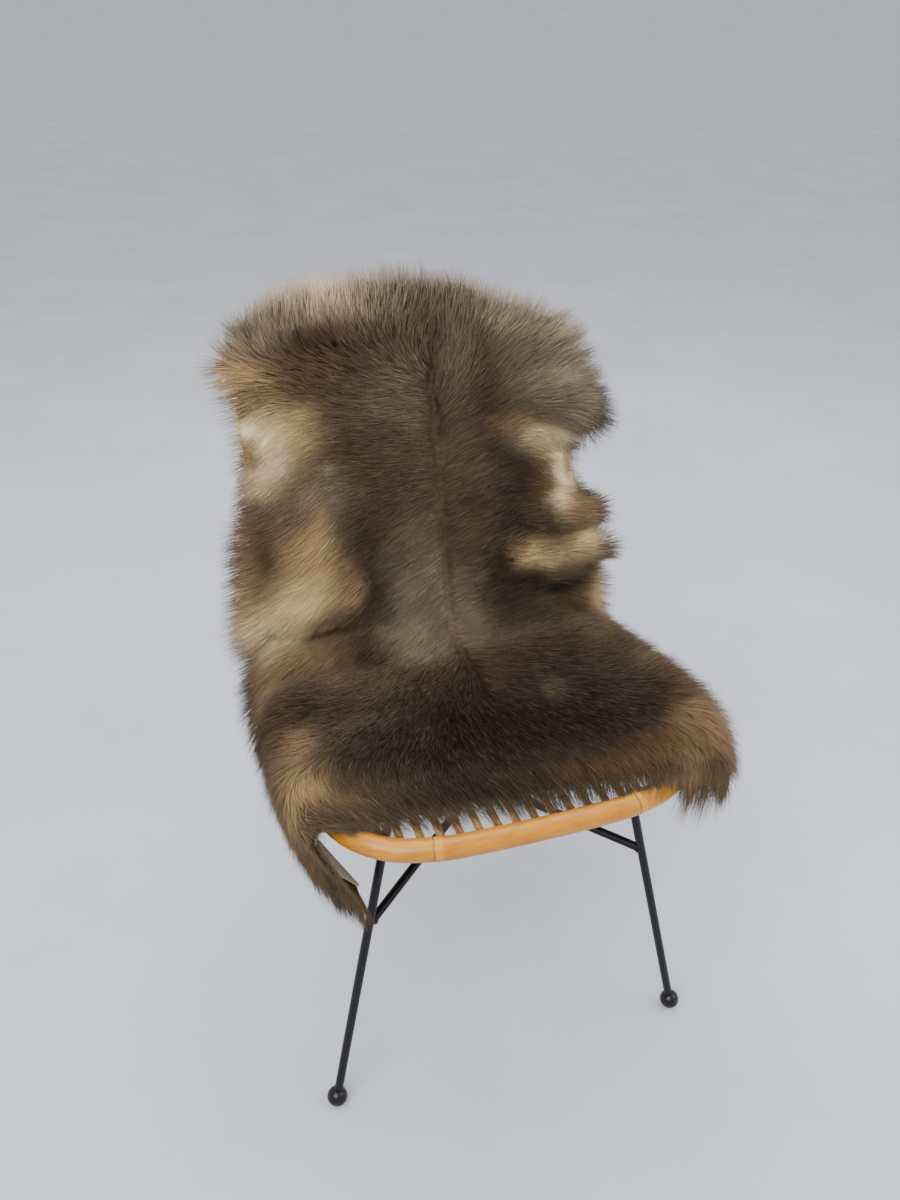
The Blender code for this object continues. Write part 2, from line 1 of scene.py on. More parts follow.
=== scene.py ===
"""A sheepskin rug draped over a rattan side chair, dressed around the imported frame.

Lengths are in metres and +Z is up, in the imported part's own frame. The rug is unfolded into two
coordinates: along the spine from the front edge to the neck, and across it, negative on the left.
"""
import json
import math

import bmesh
import bpy
import numpy as np
from bpy.props import FloatProperty, FloatVectorProperty, IntProperty, PointerProperty
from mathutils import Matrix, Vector

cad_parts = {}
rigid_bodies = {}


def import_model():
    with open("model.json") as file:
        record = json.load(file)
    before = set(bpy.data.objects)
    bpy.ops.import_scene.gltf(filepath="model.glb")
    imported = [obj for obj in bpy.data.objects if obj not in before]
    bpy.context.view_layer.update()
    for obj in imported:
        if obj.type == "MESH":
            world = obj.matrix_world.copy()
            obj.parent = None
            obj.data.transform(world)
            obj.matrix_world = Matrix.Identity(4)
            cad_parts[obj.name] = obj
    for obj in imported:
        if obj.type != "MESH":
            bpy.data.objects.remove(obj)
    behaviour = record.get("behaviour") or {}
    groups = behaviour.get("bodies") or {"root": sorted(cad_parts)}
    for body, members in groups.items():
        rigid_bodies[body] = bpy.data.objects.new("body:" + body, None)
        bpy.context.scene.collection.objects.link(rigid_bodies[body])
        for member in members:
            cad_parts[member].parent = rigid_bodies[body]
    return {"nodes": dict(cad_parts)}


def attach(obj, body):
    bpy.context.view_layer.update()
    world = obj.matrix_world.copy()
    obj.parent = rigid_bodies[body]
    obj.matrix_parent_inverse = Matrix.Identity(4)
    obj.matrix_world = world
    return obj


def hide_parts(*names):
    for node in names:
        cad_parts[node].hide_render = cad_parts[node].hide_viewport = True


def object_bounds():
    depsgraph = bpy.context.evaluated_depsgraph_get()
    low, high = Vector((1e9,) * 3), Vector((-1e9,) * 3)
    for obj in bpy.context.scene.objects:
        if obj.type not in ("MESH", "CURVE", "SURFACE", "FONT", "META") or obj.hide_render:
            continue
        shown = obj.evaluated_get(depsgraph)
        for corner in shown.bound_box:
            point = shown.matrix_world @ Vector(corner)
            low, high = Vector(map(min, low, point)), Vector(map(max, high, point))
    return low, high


bl_info = {
    "name": "Sheepskin rug on a rattan chair",
    "version": (1, 0, 0),
    "blender": (4, 5, 0),
    "location": "View3D > Sidebar > Sheepskin",
    "description": "Builds a draped sheepskin rug, its fleece and the side chair under it",
    "category": "Object",
}

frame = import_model()
CAD_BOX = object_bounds()

# The design frame stands with its origin between the front feet
PLACE = Vector((-0.005, -0.206, 0.0))
EYE = Vector((-0.313, -0.7237, 1.1614))  # where the camera stands, in that frame
LENS = 29.0
LOOK = (math.radians(59.0), 0.0, math.radians(-17.57))

# Rattan seat and back
POLE_R = 0.0125
BUTT_GAP = 0.00015
SPINDLE_R = 0.0045
SEAT_Z = 0.440
SPINDLE_Z = 0.4415
SPINDLE_PITCH = 0.0205
SEAT_SPINDLES = 17
BACK_SPINDLE_PITCH = 0.050
BACK_SPINDLES = 5
LEAN = math.radians(12)
HOOP_Y, HOOP_Z = 0.3341, 0.4976
SEAT_RIM = [
    (0.000, -0.048), (0.060, -0.047), (0.110, -0.043), (0.160, -0.027), (0.198, 0.012),
    (0.213, 0.070), (0.212, 0.140), (0.203, 0.210), (0.188, 0.275), (0.155, 0.314),
    (0.100, 0.322), (0.000, 0.323),
]
FRONT_JOINT, REAR_JOINT = 4, 8
BACK_HOOP = [
    (0.164, 0.4400), (0.175, 0.530), (0.180, 0.620), (0.176, 0.700), (0.158, 0.770),
    (0.120, 0.818), (0.060, 0.848), (0.000, 0.858),
]
CROWN_JOINT = 5
HOOP_FOOT = 0.14  # share of the hoop's first span that the seat rim takes up
CURVE_STEPS = 12  # curve steps between two rows of the pole tables
POLE_STEP = 0.006
NODE_STEP, NODE_REACH = 0.0009, 0.011  # finer steps round a node
NODE_SWELL, NODE_WIDTH = 0.030, 0.0050
NODE_RING_AT, NODE_RING_WIDTH = 0.0022, 0.0048
GROOVE_AT, GROOVE_WIDTH, GROOVE_DEPTH = -0.0020, 0.0010, 0.022
END_ROUND = 0.0006
SPINDLE_STEP, SPINDLE_INSET = 0.012, 0.003
SPINDLE_THINNEST, SPINDLE_END = 0.97, 0.006  # share of the girth, length of the dark end
# Uneven girth: share of the radius, pitch, phase
POLE_WAVES = [(0.006, 31, 1.0), (0.004, 74, 0.0)]
SPINDLE_WAVES = [(0.012, 40, 2.1), (0.010, 93, 1.0)]
POLE_SIDES, SPINDLE_SIDES, ROD_SIDES = 20, 14, 16
ROUNDING_RUN, SHARP_ANGLE = 0.0015, math.radians(50)

# Steel rods and feet
ROD_R = 0.00525
BALL_R = 0.0125
BALL_Z = 0.0115
CROSSBAR_Z = 0.42195
FRONT_FOOT, FRONT_TOP = (0.231, 0.000), (0.141, 0.0376)
REAR_FOOT, REAR_TOP = (0.200, 0.460), (0.150, 0.250)
FRONT_REACH, REAR_REACH = 0.202, 0.190
FRONT_BRACE_Z, REAR_BRACE_Z, BRACE_OFFSET = 0.282, 0.375, 0.0060
LEG_IN_FOOT, LEG_INSET, BRACE_INSET = 0.008, 0.004, 0.003
WELD_RISE, WELD_AT, WELD_WIDTH, WELD_RUN = 0.0016, 0.0025, 0.0022, 0.008
WELD_POINTS, ROD_POINTS, ROD_ROUNDING_RUN = 9, 24, 0.001
SEAM_HEIGHT, SEAM_RISE = 0.0004, 1.018  # parting line round a foot

# Floor
FLOOR_FLAT, FLOOR_RISE = 30.0, 9.0  # radius of the flat part, and height of the far rim
FLOOR_RINGS, FLOOR_SPOKES = 12, 72

# Light: name, place, size, share of the key light's power
LIGHTS = [
    ("key", (-1.6, -1.9, 2.9), 2.4, 1.0),
    ("fill", (2.4, -1.2, 2.2), 2.6, 0.30),
    ("top", (0.2, 0.9, 3.2), 2.4, 0.50),
]
LIGHT_TARGET = Vector((0, 0, 0.5))
WORLD_COLOUR, WORLD_STRENGTH = (0.86, 0.87, 0.89, 1), 1.15

# Spine path of the hide's underside, and how its sides leave that path
FRONT_EXTRA = 0.020  # length of hide in front of the path's start
HIDE_FRONT_Y, HIDE_SEAT_Z = 0.010, 0.4555
SEAT_RUN, CORNER_R, BACK_RUN, CROWN_R, FLAP_RUN = 0.247, 0.062, 0.366, 0.0165, 0.130
UPRIGHT = math.radians(90) - LEAN
SPINE_X = 0.008
SKEW, SKEW_REACH, SKEW_RUN = 0.07, 0.2, 0.15
SWEEP_LEFT, SWEEP_RIGHT = 0.42, 0.05
SWEEP_START, SWEEP_RUN = 0.06, 0.2
CURL_LEFT, CURL_RIGHT, CURL_SLACK = 0.68, 0.30, 0.012
CURL_START, CURL_RUN = -0.020, 0.12
# Sag of the shoulders beside the hoop: side, depth, start across, run across
CROWN_SLIPS = [(1, 0.024, 0.045, 0.040), (1, 0.016, 0.090, 0.060), (-1, 0.008, 0.060, 0.120)]
SLIP_START, SLIP_RUN = 0.50, 0.2
ACROSS_STEPS = 24
BEND_RUN = 0.040

OUTLINE_COLUMNS = ("along", "left", "right", "carried", "left_bend", "right_bend")
OUTLINE = [
    (-0.020, 0.278, 0.254, 0.223, 86, 60),
    (0.000, 0.308, 0.272, 0.224, 92, 64),
    (0.030, 0.334, 0.288, 0.234, 100, 66),
    (0.070, 0.348, 0.296, 0.239, 102, 66),
    (0.120, 0.328, 0.290, 0.238, 100, 62),
    (0.170, 0.292, 0.264, 0.230, 84, 56),
    (0.225, 0.268, 0.238, 0.219, 62, 50),
    (0.287, 0.258, 0.210, 0.198, 36, 36),
    (0.335, 0.250, 0.211, 0.178, 22, 22),
    (0.377, 0.244, 0.223, 0.178, 18, 14),
    (0.403, 0.242, 0.202, 0.178, 18, 14),
    (0.431, 0.240, 0.222, 0.180, 16, 12),
    (0.458, 0.234, 0.196, 0.182, 14, 8),
    (0.480, 0.230, 0.187, 0.183, 12, 6),
    (0.530, 0.233, 0.184, 0.184, 8, 6),
    (0.546, 0.234, 0.218, 0.184, 8, 10),
    (0.575, 0.235, 0.224, 0.184, 8, 14),
    (0.610, 0.231, 0.214, 0.182, 10, 16),
    (0.640, 0.226, 0.206, 0.180, 12, 16),
    (0.663, 0.240, 0.194, 0.176, 16, 16),
    (0.690, 0.218, 0.180, 0.165, 14, 14),
    (0.730, 0.190, 0.164, 0.150, 10, 10),
    (0.780, 0.172, 0.152, 0.140, 6, 6),
    (0.830, 0.134, 0.127, 0.130, 4, 4),
    (0.880, 0.090, 0.085, 0.130, 2, 2),
]
# Folds: along and across of both ends, reach, height
FOLDS = [
    (0.434, 0.120, 0.424, 0.240, 0.017, 0.017),
    (0.396, 0.100, 0.378, 0.240, 0.016, 0.022),
    (0.404, 0.206, 0.402, 0.240, 0.010, -0.013),
    (0.352, 0.210, 0.356, 0.240, 0.012, -0.014),
    (0.328, 0.175, 0.322, 0.225, 0.018, 0.012),
    (0.480, -0.165, 0.400, -0.175, 0.035, 0.012),
    (0.372, -0.120, 0.352, -0.250, 0.020, 0.016),
    (0.326, -0.222, 0.300, -0.255, 0.014, -0.013),
    (0.300, -0.110, 0.285, -0.200, 0.022, 0.010),
    (0.600, 0.150, 0.560, 0.215, 0.030, 0.010),
    (0.655, -0.120, 0.640, -0.235, 0.030, 0.010),
    (0.705, -0.170, 0.735, -0.020, 0.022, 0.006),
    (0.120, 0.215, 0.050, 0.225, 0.030, 0.008),
    (0.230, 0.020, 0.250, 0.160, 0.026, 0.006),
    (0.110, -0.150, 0.070, -0.205, 0.026, 0.007),
]
PILE, EDGE_PILE, EDGE_RUN = 0.021, 0.010, 0.030
LUMP, LUMPS_ALONG, LUMPS_ACROSS = 0.0025, 47, 53
LUMP_WANDER, WANDER_ACROSS = 3, 31
BARE_DEPTH = 0.62
# Nearly bare places: along, across, reach along, reach across
BARE = [(0.585, -0.232, 0.055, 0.045), (0.495, 0.180, 0.038, 0.040)]

# Grid of the leather and the underwool
GRID_ROWS, GRID_COLUMNS = 112, 72
EDGE_WANDER = 0.0025  # how far the cut edge strays from the outline
EDGE_PITCH, EDGE_BAND = 0.018, 0.012  # pitch and border of that straying
# Map of a sheet: its two sides' tiles side by side, and its edge in a strip above them
TILE_WIDE, TILE_HIGH, TILE_SHIFT = (0.01, 0.48), (0.01, 0.97), 0.505
WALL_WIDE, WALL_HIGH = (0.01, 0.99), (0.980, 0.995)
WOOL_SHARE = 0.45  # height of the underwool as a share of the pile
WOOL_LEAST, WOOL_GAP, WOOL_INSET = 0.0008, 0.0001, 0.003
WOOL_TUFT, WOOL_DIP, WOOL_PITCH = 0.0016, -0.0006, 0.007

# Coat colours, as sRGB bytes
COAT = {
    "soot": (24, 14, 8), "umber": (46, 30, 18), "bark": (80, 60, 42), "stone": (98, 83, 66),
    "ash": (138, 124, 104), "silver": (174, 158, 135), "russet": (112, 82, 50),
    "tan": (164, 135, 99), "honey": (204, 173, 126), "cream": (246, 219, 165),
    "pale": (255, 235, 186),
}
# Patches of colour: across, along, reach across, reach along, colour, amount
PATCHES = [
    # Crown of the back and the flap behind it. The ash, silver and cream at the crown are coat
    # colour, partly painted highlight where the crown catches the light
    (0.000, 0.745, 0.260, 0.036, "ash", 0.55),
    (-0.130, 0.725, 0.085, 0.034, "silver", 0.95),
    (-0.135, 0.716, 0.050, 0.022, "cream", 0.28),
    (0.150, 0.722, 0.070, 0.032, "silver", 0.60),
    (0.000, 0.850, 0.100, 0.060, "bark", 0.60),
    # Right shoulder
    (0.165, 0.655, 0.075, 0.075, "ash", 0.90),
    (0.188, 0.645, 0.050, 0.060, "silver", 0.55),
    (0.200, 0.572, 0.035, 0.028, "silver", 0.60),
    (0.228, 0.546, 0.018, 0.010, "bark", 0.60),
    (0.110, 0.700, 0.040, 0.025, "ash", 0.50),
    # Left shoulder
    (-0.205, 0.690, 0.045, 0.028, "ash", 0.85),
    (-0.140, 0.668, 0.065, 0.036, "bark", 0.75),
    (-0.150, 0.676, 0.032, 0.018, "umber", 0.45),
    (-0.195, 0.645, 0.035, 0.022, "russet", 0.60),
    (-0.232, 0.650, 0.036, 0.026, "honey", 0.98),
    (-0.212, 0.618, 0.050, 0.018, "tan", 0.85),
    (-0.120, 0.618, 0.050, 0.026, "bark", 0.50),
    (-0.050, 0.604, 0.044, 0.040, "ash", 0.50),
    # Beside the spine
    (0.036, 0.640, 0.020, 0.080, "ash", 0.30),
    (0.075, 0.595, 0.020, 0.050, "bark", 0.75),
    (-0.036, 0.400, 0.044, 0.060, "ash", 0.34),
    (0.042, 0.440, 0.024, 0.070, "bark", 0.50),
    # Left armpit, nearly bare
    (-0.178, 0.568, 0.040, 0.038, "honey", 0.85),
    (-0.210, 0.588, 0.042, 0.024, "cream", 0.95),
    (-0.214, 0.550, 0.030, 0.046, "pale", 0.90),
    (-0.220, 0.588, 0.026, 0.012, "pale", 0.90),
    (-0.226, 0.522, 0.018, 0.018, "pale", 0.85),
    (-0.230, 0.550, 0.015, 0.026, "tan", 0.90),
    (-0.206, 0.470, 0.018, 0.046, "tan", 0.45),
    (-0.118, 0.545, 0.034, 0.034, "bark", 0.80),
    (-0.137, 0.523, 0.007, 0.007, "silver", 0.70),
    (-0.090, 0.480, 0.034, 0.070, "bark", 0.55),
    # Left flank
    (-0.150, 0.486, 0.042, 0.040, "ash", 0.80),
    (-0.246, 0.400, 0.025, 0.100, "tan", 0.90),
    (-0.166, 0.438, 0.028, 0.044, "honey", 0.92),
    (-0.172, 0.398, 0.034, 0.040, "honey", 0.90),
    (-0.142, 0.372, 0.030, 0.046, "tan", 0.50),
    (-0.196, 0.366, 0.040, 0.026, "cream", 0.75),
    (-0.222, 0.334, 0.034, 0.030, "cream", 0.95),
    (-0.234, 0.318, 0.032, 0.028, "pale", 0.97),
    (-0.218, 0.420, 0.012, 0.016, "bark", 0.55),
    (-0.098, 0.370, 0.024, 0.090, "umber", 0.50),
    (-0.158, 0.316, 0.046, 0.010, "umber", 0.90),
    (-0.190, 0.276, 0.044, 0.026, "tan", 0.80),
    (-0.205, 0.290, 0.020, 0.010, "honey", 0.45),
    (-0.250, 0.276, 0.026, 0.040, "tan", 0.85),
    (-0.120, 0.262, 0.030, 0.034, "umber", 0.75),
    # Small of the back
    (-0.036, 0.316, 0.042, 0.072, "silver", 0.82),
    (-0.060, 0.286, 0.040, 0.040, "ash", 0.60),
    (0.036, 0.300, 0.026, 0.060, "silver", 0.48),
    (0.086, 0.350, 0.036, 0.060, "umber", 0.72),
    (0.120, 0.275, 0.045, 0.030, "umber", 0.40),
    # Right armpit, nearly bare, with the dark wedge beside it
    (0.110, 0.440, 0.045, 0.050, "umber", 0.55),
    (0.088, 0.526, 0.022, 0.028, "umber", 0.40),
    (0.106, 0.494, 0.030, 0.030, "umber", 0.45),
    (0.140, 0.474, 0.018, 0.034, "russet", 0.65),
    (0.114, 0.560, 0.034, 0.020, "tan", 0.85),
    (0.146, 0.538, 0.032, 0.024, "pale", 0.90),
    (0.166, 0.530, 0.022, 0.018, "pale", 0.80),
    (0.177, 0.480, 0.022, 0.036, "pale", 0.97),
    (0.172, 0.508, 0.020, 0.004, "pale", 0.97),
    (0.166, 0.445, 0.020, 0.014, "pale", 0.95),
    (0.180, 0.488, 0.007, 0.018, "tan", 0.75),
    (0.198, 0.436, 0.032, 0.014, "tan", 0.85),
    # Ridges of the right flank. The cream on the upper ridges is coat colour, partly painted
    # highlight where they catch the light
    (0.202, 0.420, 0.030, 0.010, "tan", 0.75),
    (0.120, 0.390, 0.022, 0.014, "honey", 0.75),
    (0.146, 0.376, 0.032, 0.021, "cream", 0.90),
    (0.176, 0.364, 0.024, 0.012, "tan", 0.80),
    (0.200, 0.392, 0.026, 0.014, "cream", 0.88),
    (0.168, 0.404, 0.022, 0.008, "russet", 0.70),
    (0.218, 0.310, 0.019, 0.034, "cream", 0.90),
    (0.172, 0.300, 0.022, 0.016, "russet", 0.60),
    (0.210, 0.280, 0.012, 0.034, "tan", 0.70),
    # Painted shade along the crease under the upper ridge, in the umber and soot rows
    (0.125, 0.347, 0.030, 0.012, "umber", 0.85),
    (0.188, 0.304, 0.012, 0.020, "bark", 0.35),
    (0.168, 0.332, 0.044, 0.009, "soot", 0.88),
    (0.210, 0.344, 0.016, 0.009, "umber", 0.80),
    # Seat
    (0.000, 0.190, 0.240, 0.050, "bark", 0.70),
    (-0.215, 0.170, 0.055, 0.055, "umber", 0.92),
    (-0.120, 0.180, 0.026, 0.024, "stone", 0.40),
    (0.110, 0.190, 0.100, 0.050, "umber", 0.70),
    (-0.030, 0.080, 0.185, 0.100, "soot", 0.97),
    (0.110, 0.080, 0.105, 0.085, "soot", 0.90),
    (-0.085, 0.092, 0.014, 0.028, "bark", 0.45),
    (0.085, 0.134, 0.018, 0.022, "stone", 0.50),
    (0.030, 0.165, 0.030, 0.018, "bark", 0.45),
    (-0.238, 0.040, 0.025, 0.034, "honey", 0.85),
    (-0.208, 0.008, 0.024, 0.022, "russet", 0.60),
    (-0.225, 0.108, 0.020, 0.036, "tan", 0.60),
    (-0.060, -0.010, 0.160, 0.022, "umber", 0.60),
    (0.090, -0.012, 0.070, 0.016, "russet", 0.60),
    (0.180, 0.004, 0.060, 0.026, "russet", 0.95),
    (0.196, 0.070, 0.034, 0.046, "umber", 0.70),
    (0.240, 0.115, 0.034, 0.050, "bark", 0.75),
    (0.222, 0.026, 0.032, 0.032, "tan", 0.90),
    # Lobes
    (0.290, 0.085, 0.046, 0.060, "bark", 0.60),
    (0.265, 0.050, 0.020, 0.040, "tan", 0.50),
    (0.194, -0.030, 0.020, 0.024, "tan", 0.70),
    (-0.272, 0.135, 0.030, 0.035, "bark", 0.70),
    (-0.315, 0.070, 0.030, 0.035, "tan", 0.60),
    (-0.310, 0.060, 0.034, 0.040, "russet", 0.45),
    (-0.312, -0.010, 0.036, 0.024, "russet", 0.50),
    (-0.216, -0.006, 0.034, 0.024, "tan", 0.35),
    (-0.272, 0.190, 0.036, 0.055, "bark", 0.85),
]
SPINE_STRIPE = (0.003, 0.014, "umber", 0.08)  # across, reach, colour, amount
STRIPE_STRAY, STRIPE_PITCH = 0.004, 0.05
COAT_STRAYS = [(0.034, 0.010), (0.010, 0.004)]  # pitch and size of the patches' straying
COAT_STRAY_REACH = 0.030  # patches smaller than this stray less
COAT_EDGE = 1.15  # how firm a patch's edge is
MOTTLE = [(0.034, 0.20), (0.013, 0.14)]  # pitch and depth of the coat's uneven tone

# Lie of the hair: across, along, heading across, heading along, lift in degrees, length
LIE = [
    (0.000, 0.870, 0.0, 1.0, 20, 0.028),
    (-0.100, 0.820, -0.6, 0.8, 20, 0.028),
    (0.100, 0.820, 0.6, 0.8, 20, 0.028),
    (0.000, 0.730, 0.0, 1.0, 54, 0.036),
    (-0.120, 0.725, -0.15, 0.95, 54, 0.039),
    (0.120, 0.725, 0.4, 0.9, 54, 0.037),
    (-0.185, 0.715, -0.1, 1.0, 58, 0.044),
    (-0.240, 0.695, 0.2, 1.0, 30, 0.024),
    (0.180, 0.700, 0.9, 0.4, 34, 0.036),
    (0.004, 0.660, 0.1, 1.0, 17, 0.027),
    (-0.130, 0.660, -0.8, 0.5, 17, 0.029),
    (-0.234, 0.652, -0.9, -0.5, 20, 0.038),
    (0.120, 0.650, 0.8, 0.6, 18, 0.031),
    (0.200, 0.610, 1.0, 0.0, 24, 0.034),
    (0.200, 0.560, 0.7, -0.7, 20, 0.036),
    (0.070, 0.550, 0.85, 0.5, 14, 0.027),
    (-0.070, 0.560, -0.9, 0.1, 14, 0.027),
    (-0.210, 0.550, -0.8, -0.5, 8, 0.019),
    (0.160, 0.490, 0.8, -0.6, 8, 0.017),
    (0.070, 0.420, 0.9, 0.45, 14, 0.027),
    (-0.070, 0.420, -0.9, -0.35, 14, 0.027),
    (-0.190, 0.430, -0.9, -0.45, 18, 0.033),
    (0.170, 0.390, 1.0, -0.1, 17, 0.029),
    (0.070, 0.300, 0.8, 0.3, 14, 0.028),
    (-0.070, 0.300, -0.8, -0.5, 14, 0.028),
    (-0.200, 0.320, -0.8, -0.6, 18, 0.033),
    (0.190, 0.290, 0.9, -0.4, 20, 0.030),
    (0.220, 0.325, 1.0, -0.4, 22, 0.048),
    (0.060, 0.210, 0.5, -0.6, 16, 0.028),
    (-0.060, 0.210, -0.5, -0.8, 16, 0.028),
    (-0.210, 0.200, -0.8, -0.6, 22, 0.034),
    (0.220, 0.180, 0.9, -0.4, 30, 0.034),
    (0.000, 0.100, 0.15, -1.0, 13, 0.030),
    (-0.120, 0.090, -0.4, -0.9, 14, 0.030),
    (0.120, 0.090, 0.4, -0.9, 14, 0.030),
    (0.000, 0.000, 0.1, -1.0, 10, 0.036),
    (-0.150, 0.000, -0.2, -1.0, 10, 0.036),
    (0.150, 0.000, 0.2, -1.0, 10, 0.036),
    (-0.250, 0.000, 0.1, -1.0, 8, 0.040),
    (0.250, 0.000, 0.2, -1.0, 24, 0.038),
    (-0.300, 0.080, -0.8, -0.5, 22, 0.038),
    (-0.325, 0.010, -1.0, 0.2, 14, 0.036),
    (0.300, 0.080, 0.8, -0.5, 48, 0.042),
]
LIE_REACH = 0.055
EDGE_STEP = 0.005  # step at which the way to the nearest edge is read
PARTING = 0.03  # weight of the rows from beyond the spine
RIM_FAN, FAN_SHARE = 0.030, 0.55  # border in which hair fans outwards, and how far

# Fleece pieces: name, start and end along the spine, share of the density
FLEECE = [
    ("fleece_front", -0.03, 0.075, 1.15),
    ("fleece_seat", 0.075, 0.175, 1.10),
    ("fleece_lap", 0.175, 0.330, 1.10),
    ("fleece_back", 0.330, 0.500, 1.10),
    ("fleece_shoulders", 0.500, 0.680, 1.10),
    ("fleece_neck", 0.680, 0.900, 0.90),
]
RIM_WIDTH = 0.011  # border whose hair makes the rim's piece
CLUMP_PITCH, CLUMP_JITTER = 0.0100, 0.45
CLUMP_SPAN = 0.8  # width that the tufts cover
CURVED_KINDS = [(2.0, 0.8), (4.2, -1.2), (6.0, 1.4), (3.0, -0.5)]  # bulge and sway, in girths
FINE_SHARE = 0.96  # share of the hairs that are straight and fine
CURVED_GIRTH, FINE_GIRTH = 0.00036, 0.00026
# Hair at the rim hangs: from and to across, end along, right and down, added length, density.
# The first row that fits holds.
RIM_HANGS = [
    (-0.40, -0.305, 0.060, -0.30, 0.85, 0.00, 6.0),
    (-0.305, -0.285, 0.012, 0.10, 0.70, 0.05, 5.0),
    (-0.285, -0.245, 0.012, 0.70, 0.50, 0.20, 5.0),
    (-0.245, -0.19, 0.012, 0.12, 0.50, 0.10, 2.4),
    (-0.19, 0.17, 0.012, 0.00, 0.36, 0.16, 2.4),
    (0.17, 0.19, 0.012, -0.20, 0.80, 0.20, 5.0),
    (0.19, 0.230, 0.012, -0.45, 1.00, 0.58, 7.0),
    (0.230, 0.265, 0.025, -0.95, 0.30, -0.10, 5.0),
    (0.265, 0.40, 0.025, -0.80, 0.20, -0.55, 5.0),
    (0.245, 0.40, 0.140, -0.70, 0.25, -0.25, 5.0),
    (-0.40, -0.19, 0.200, 0.10, 0.50, 0.10, 2.6),
    (0.17, 0.40, 0.200, 0.15, 0.45, 0.35, 2.8),
    (-0.40, -0.19, 0.520, 0.00, 0.08, 0.40, 2.8),
]
RIM_HANG = (0.0, 0.08, 0.20, 2.6)  # the same four values elsewhere
# Scatter of tufts and of single hairs: heading and lift in radians, length and tone as shares
TUFT_SCATTER = {"heading": 0.06, "lift": 0.025, "low": 0.94, "high": 1.06, "tone": 0.025}
HAIR_SCATTER = {"heading": 0.10, "lift": 0.055, "low": 0.66, "high": 1.12, "tone": 0.13}
TUFT_PULL = (0.0, 0.12)  # how far a tip leans to its tuft's tip, from least to most
RIM_PULL = 0.04  # added at the rim, where the tufts end in points
BARE_THINNING = 0.75  # share of the hairs missing from the bare patches
ROOT_DEPTH = 0.0010  # how deep a hair starts in the underwool
GIRTH_SCATTER = (0.8, 1.25)
LONGEST = 1.35  # longest hair as a share of its own length, once it leans to its tuft
LOCK_SIDES = 3
COLOUR_REACH = 0.6  # share of a hair's length at which its colour is looked up
PROUD = 0.022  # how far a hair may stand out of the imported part's box


# Numbers
def ease(t):
    t = np.clip(t, 0.0, 1.0)
    return t * t * (3.0 - 2.0 * t)


def linear(colour):
    """Linear RGB from sRGB bytes."""
    value = np.asarray(colour, float) / 255
    return np.where(value <= 0.04045, value / 12.92, ((value + 0.055) / 1.055) ** 2.4)


def ripple(along, across, pitch, seed):
    """Smooth noise from -1 to 1 with the given pitch."""
    size = 256
    table = np.random.default_rng(seed).uniform(-1, 1, (size, size))
    a, c = along / pitch + 100.3, across / pitch + 100.7
    i, j = np.floor(a).astype(int), np.floor(c).astype(int)
    t, u = ease(a - i), ease(c - j)
    i, j = i % size, j % size
    k, m = (i + 1) % size, (j + 1) % size
    low = table[i, j] * (1 - u) + table[i, m] * u
    high = table[k, j] * (1 - u) + table[k, m] * u
    return low * (1 - t) + high * t


def smooth_curve(points, steps, closed=False):
    """Points on a curve that passes smoothly through the given ones."""
    pts = [Vector(p) for p in points]
    count = len(pts)
    out = []
    for i in range(count if closed else count - 1):
        if closed:
            a, b, c, d = (pts[(i + k) % count] for k in (-1, 0, 1, 2))
        else:
            b, c = pts[i], pts[i + 1]
            a = pts[i - 1] if i else b * 2 - c
            d = pts[i + 2] if i + 2 < count else c * 2 - b
        for k in range(steps):
            t = k / steps
            out.append(0.5 * (2 * b + (c - a) * t + (2 * a - 5 * b + 4 * c - d) * t * t
                              + (3 * b - a - 3 * c + d) * t ** 3))
    if not closed:
        out.append(pts[-1])
    return out


# Meshes
def add_object(name, data, material=None):
    obj = bpy.data.objects.new(name, data)
    bpy.context.scene.collection.objects.link(obj)
    if material is not None:
        data.materials.append(material)
    return obj


def add_mesh(name, verts, faces, material):
    mesh = bpy.data.meshes.new(name)
    mesh.from_pydata([tuple(map(float, v)) for v in verts], [], faces)
    mesh.shade_smooth()
    return add_object(name, mesh, material)


def set_values(mesh, name, kind, domain, values, field="value"):
    layer = mesh.attributes.new(name, kind, domain)
    layer.data.foreach_set(field, np.asarray(values, np.float32).ravel())


def set_coat(mesh, colours):
    values = np.concatenate([colours, np.ones((len(colours), 1))], -1)
    set_values(mesh, "coat", "FLOAT_COLOR", "POINT", values, "color")


def place_and_ride(obj, slot, *nodes):
    """Hand the piece to the frame and hide the solids that it dresses; its material slot is not used.
    """
    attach(obj, "root")
    if nodes:
        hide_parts(*nodes)


# Shader nodes
def node(tree, kind, inputs=None, **settings):
    made = tree.nodes.new(kind)
    for key, value in settings.items():
        setattr(made, key, value)
    for key, value in (inputs or {}).items():
        socket = made.inputs[key]
        if isinstance(value, bpy.types.NodeSocket):
            tree.links.new(value, socket)
        else:
            socket.default_value = value
    return made


def maths(tree, operation, *values, clamp=False):
    made = node(tree, "ShaderNodeMath", dict(enumerate(values)), operation=operation,
                use_clamp=clamp)
    return made.outputs[0]


def mixed(tree, factor, a, b, blend="MIX"):
    """Colour between two others. A mixing node keeps its colour sockets at 6 and 7."""
    made = node(tree, "ShaderNodeMix", {0: factor, 6: a, 7: b}, data_type="RGBA", blend_type=blend)
    return made.outputs[2]


def tinted(tree, base, mask, amount, colour):
    return mixed(tree, maths(tree, "MULTIPLY", mask, amount), base, rgba(colour))


def stretched(tree, vector, share):
    """The vector with its first value scaled, so that a texture runs long that way."""
    made = node(tree, "ShaderNodeVectorMath", {0: vector, 1: (share, 1.0, 1.0)},
                operation="MULTIPLY")
    return made.outputs[0]


def scaled(tree, vector, factor):
    made = node(tree, "ShaderNodeVectorMath", {0: vector, "Scale": factor}, operation="SCALE")
    return made.outputs[0]


def spread(tree, value, low, high, to_low=0.0, to_high=1.0):
    made = node(tree, "ShaderNodeMapRange", {"Value": value, "From Min": low, "From Max": high,
                                             "To Min": to_low, "To Max": to_high})
    return made.outputs["Result"]


